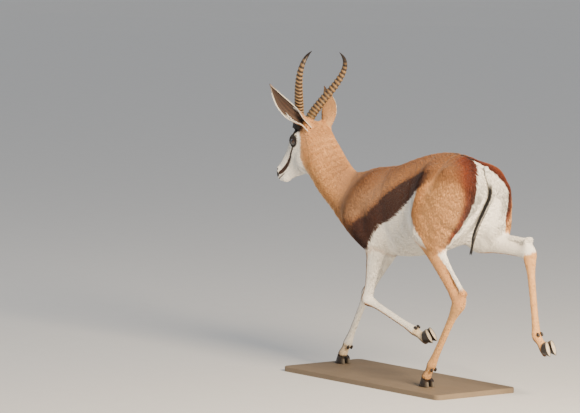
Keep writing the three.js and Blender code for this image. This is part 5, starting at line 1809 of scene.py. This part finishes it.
def eye_build(w):
    """A brown iris round a level dark pupil, all under one clear coat."""
    polar, level, fore = (value_of(w, key) for key in ("polar", "level", "fore"))
    rays = grain(w, place_of(w), 700, 3, 0.7)
    pupil = 1 - ((level * 4.2) ** 2 + (fore * 2.0) ** 2).between(0.75, 1.05)
    iris = (1 - polar.between(0.62, 0.8)) * (1 - pupil)
    colour = (iris * (0.35 + rays * 0.5)).tinted(paint(10, 7, 6), paint(62, 36, 20))
    white = polar.between(1.15, 1.3) * 0.5
    return {"Base Color": white.tinted(colour, paint(140, 120, 104)),
            "Roughness": 0.12 + rays * 0.06}


eye_paint = finish("eye", eye_build, Coat_Weight=1.0, Coat_Roughness=0.03,
                   Specular_IOR_Level=0.5)

# %% [markdown]
# Ear: tan hair outside, dark thin-haired skin inside with paler veins, a white rim.
# The base is painted board, worn a little paler in broad patches and brushed streaks.

# %% Ear, base and floor finishes
def ear_build(w):
    where = place_of(w)
    along, across_ear, within = (value_of(w, key) for key in ("along", "across", "within"))
    hairs = grain(w, where, 700, 3, 0.6)
    edge = w.math("ABSOLUTE", across_ear).between(0.93, 0.99)
    tip = along.between(0.74, 0.95)
    outside = tip.tinted(THIGH, paint(110, 78, 54))
    lines = (w.math("SINE", across_ear * 16.0) * 0.5 + 0.5) * (1 - along) * 0.35
    inside = (lines + hairs * 0.25).clamped().tinted(paint(44, 30, 24), paint(112, 86, 68))
    colour = within.between(0.4, 0.6).tinted(outside, inside)
    colour = (edge * (1 - tip * 0.7)).tinted(colour, paint(232, 222, 206))
    return {"Base Color": colour.scaled(0.85 + hairs * 0.25), "Roughness": 0.6 + hairs * 0.2,
            "Normal": bumped(w, hairs, 0.4, 0.0005)}


ear_paint = finish("ear", ear_build, Specular_IOR_Level=0.3, Sheen_Weight=0.15,
                   Subsurface_Weight=0.06)


def stand_build(w):
    where = place_of(w)
    fine, broad = grain(w, where, 420, 3, 0.6), grain(w, where, 9, 3, 0.6)
    brushed = grain(w, where, 60, 4, 0.7, (0.05, 1.0, 1.0))
    worn = (broad * 0.6 + brushed * 0.5 - 0.1).clamped()
    colour = worn.tinted(paint(116, 100, 80), paint(140, 122, 100))
    return {"Base Color": colour.scaled(0.92 + fine * 0.14), "Roughness": 0.55 + fine * 0.2,
            "Normal": bumped(w, fine + brushed, 0.25, 0.0005)}


stand_paint = finish("stand", stand_build, Specular_IOR_Level=0.4)


def floor_build(w):
    fine = grain(w, place_of(w), 14, 2, 0.5)
    return {"Base Color": fine.tinted(paint(214, 212, 208), paint(218, 217, 213))}


floor_paint = finish("floor", floor_build, Roughness=0.85, Specular_IOR_Level=0.2,
                     Emission_Color=(1, 1, 1, 1), Emission_Strength=0.14)

for obj in (skin, tail_core):
    obj.data.materials.append(coat_paint)
for obj in (*coats, tail_hair, collar, *ear_coats, *ear_fringes):
    obj.data.materials.append(tuft_paint)
for group, paint_used in ((horns, horn_paint), (ears, ear_paint), (eyes, eye_paint),
                          (claws, hoof_paint), (dewclaws, hoof_paint)):
    for obj in group.values():
        obj.data.materials.append(paint_used)
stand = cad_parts["stand_base"]
stand.data.materials.clear()
stand.data.materials.append(stand_paint)
print(len(bpy.data.materials), "materials")

# %% [markdown]
# Each finished piece rides on the model's single body, and the solids it stands for
# stay hidden. The skin stands for all of the flesh at once.

# %% Pieces and the solids they replace
FLESH = ["head", "neck", "torso"] + [f"{leg}_{part}" for leg in JOINTS for part in (
    ("haunch", "gaskin", "cannon", "pastern") if leg.endswith("hind")
    else ("shoulder", "forearm", "cannon", "pastern"))]
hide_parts(*FLESH)
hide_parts("tail")
for side in ("left", "right"):
    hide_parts(f"{side}_horn")
    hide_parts(f"{side}_ear")
    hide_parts(f"{side}_eye")
for (leg, side), claw in claws.items():
    which = claw_side(leg, side)
    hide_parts(f"{leg}_claw_{which}")
slots = {"tan_coat": [skin, *coats, *ears.values(), *ear_coats, collar],
         "white_coat": [tail_core, tail_hair, *ear_fringes], "horn": list(horns.values()),
         "hoof": [*claws.values(), *dewclaws.values()], "eye": list(eyes.values())}
for name, group in slots.items():
    for piece in group:
        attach(piece, "root")

# %% [markdown]
# The floor is one wide pale sheet that curves up behind the model, as paper does in a
# photographer's studio, so that no edge shows.

# %% Floor
FLOOR_LINES = 81


def make_floor():
    """A sheet level at z 0 out to 20 m, which then rises like the side of a bowl."""
    line = np.linspace(-50, 50, FLOOR_LINES)
    x, y = np.meshgrid(line, line, indexing="ij")
    points = np.stack([x, y, 16 * smooth(20, 48, np.hypot(x, y))], -1).reshape(-1, 3)
    mesh = bpy.data.meshes.new("studio_floor")
    faces = ring_faces(FLOOR_LINES, FLOOR_LINES, closed=False)
    mesh.from_pydata(points.tolist(), [], faces.tolist())
    made = linked("studio_floor", mesh)
    face_out(made)
    made.data.materials.append(floor_paint)
    return made


floor = make_floor()

# %% [markdown]
# The animal is seen from behind its left side through a long lens, from a little above
# its back.

# %% Camera
AZIMUTH, ELEVATION, DISTANCE, FOCAL = np.radians(54), np.radians(6), 16.0, 4608
VIEW_BACK = np.array([np.sin(AZIMUTH) * np.cos(ELEVATION), -np.cos(AZIMUTH) * np.cos(ELEVATION),
                      np.sin(ELEVATION)])
VIEW_RIGHT = np.array([np.cos(AZIMUTH), np.sin(AZIMUTH), 0])
VIEW_UP = np.cross(VIEW_BACK, VIEW_RIGHT)
AIM, AIM_PIXEL, FRAME = vec(0, 0, 524.3), (427, 232), (580, 413)


def frame_matrix(position, right, up, back):
    rows = np.eye(4)
    rows[:3, 0], rows[:3, 1], rows[:3, 2], rows[:3, 3] = right, up, back, position
    return Matrix(rows.tolist())


lens = bpy.data.cameras.new("view")
lens.sensor_width = 36
lens.lens = 36 * FOCAL / FRAME[0]
lens.clip_end = 200
lens.shift_x = (FRAME[0] / 2 - AIM_PIXEL[0]) / FRAME[0]
lens.shift_y = (AIM_PIXEL[1] - FRAME[1] / 2) / FRAME[0]
camera = linked("view", lens)
camera.matrix_world = frame_matrix(place(AIM) + VIEW_BACK * DISTANCE, VIEW_RIGHT, VIEW_UP,
                                   VIEW_BACK)
bpy.context.scene.camera = camera
print("lens", round(lens.lens, 1), "mm, shift", round(lens.shift_x, 3), round(lens.shift_y, 3))

# %% [markdown]
# The light is a large warm lamp low behind the animal and a weaker cool one in front,
# as on a late afternoon, so its rump and nape are bright and its chest is shaded.

# %% Light
def area_light(name, towards, distance, size, watts, colour):
    """A square lamp that faces the middle of the animal."""
    lamp = bpy.data.lights.new(name, "AREA")
    lamp.shape, lamp.size, lamp.energy, lamp.color = "SQUARE", size, watts, colour
    made = linked(name, lamp)
    back = unit(np.asarray(towards, float))
    right = unit(np.cross([0, 0, 1], back))
    centre = place(vec(-120, 0, 600))
    made.matrix_world = frame_matrix(centre + back * distance, right, np.cross(back, right), back)
    return made


area_light("key", (1.0, -0.16, 0.42), 5.0, 1.5, 720, (1.0, 0.82, 0.60))
area_light("fill", (-0.8, -0.8, 0.6), 6.0, 4.0, 70, (0.76, 0.87, 1.0))
world = bpy.data.worlds.new("studio")
bpy.context.scene.world = world
world.use_nodes = True
world.node_tree.nodes["Background"].inputs["Color"].default_value = (0.86, 0.91, 1.0, 1)
world.node_tree.nodes["Background"].inputs["Strength"].default_value = 0.34
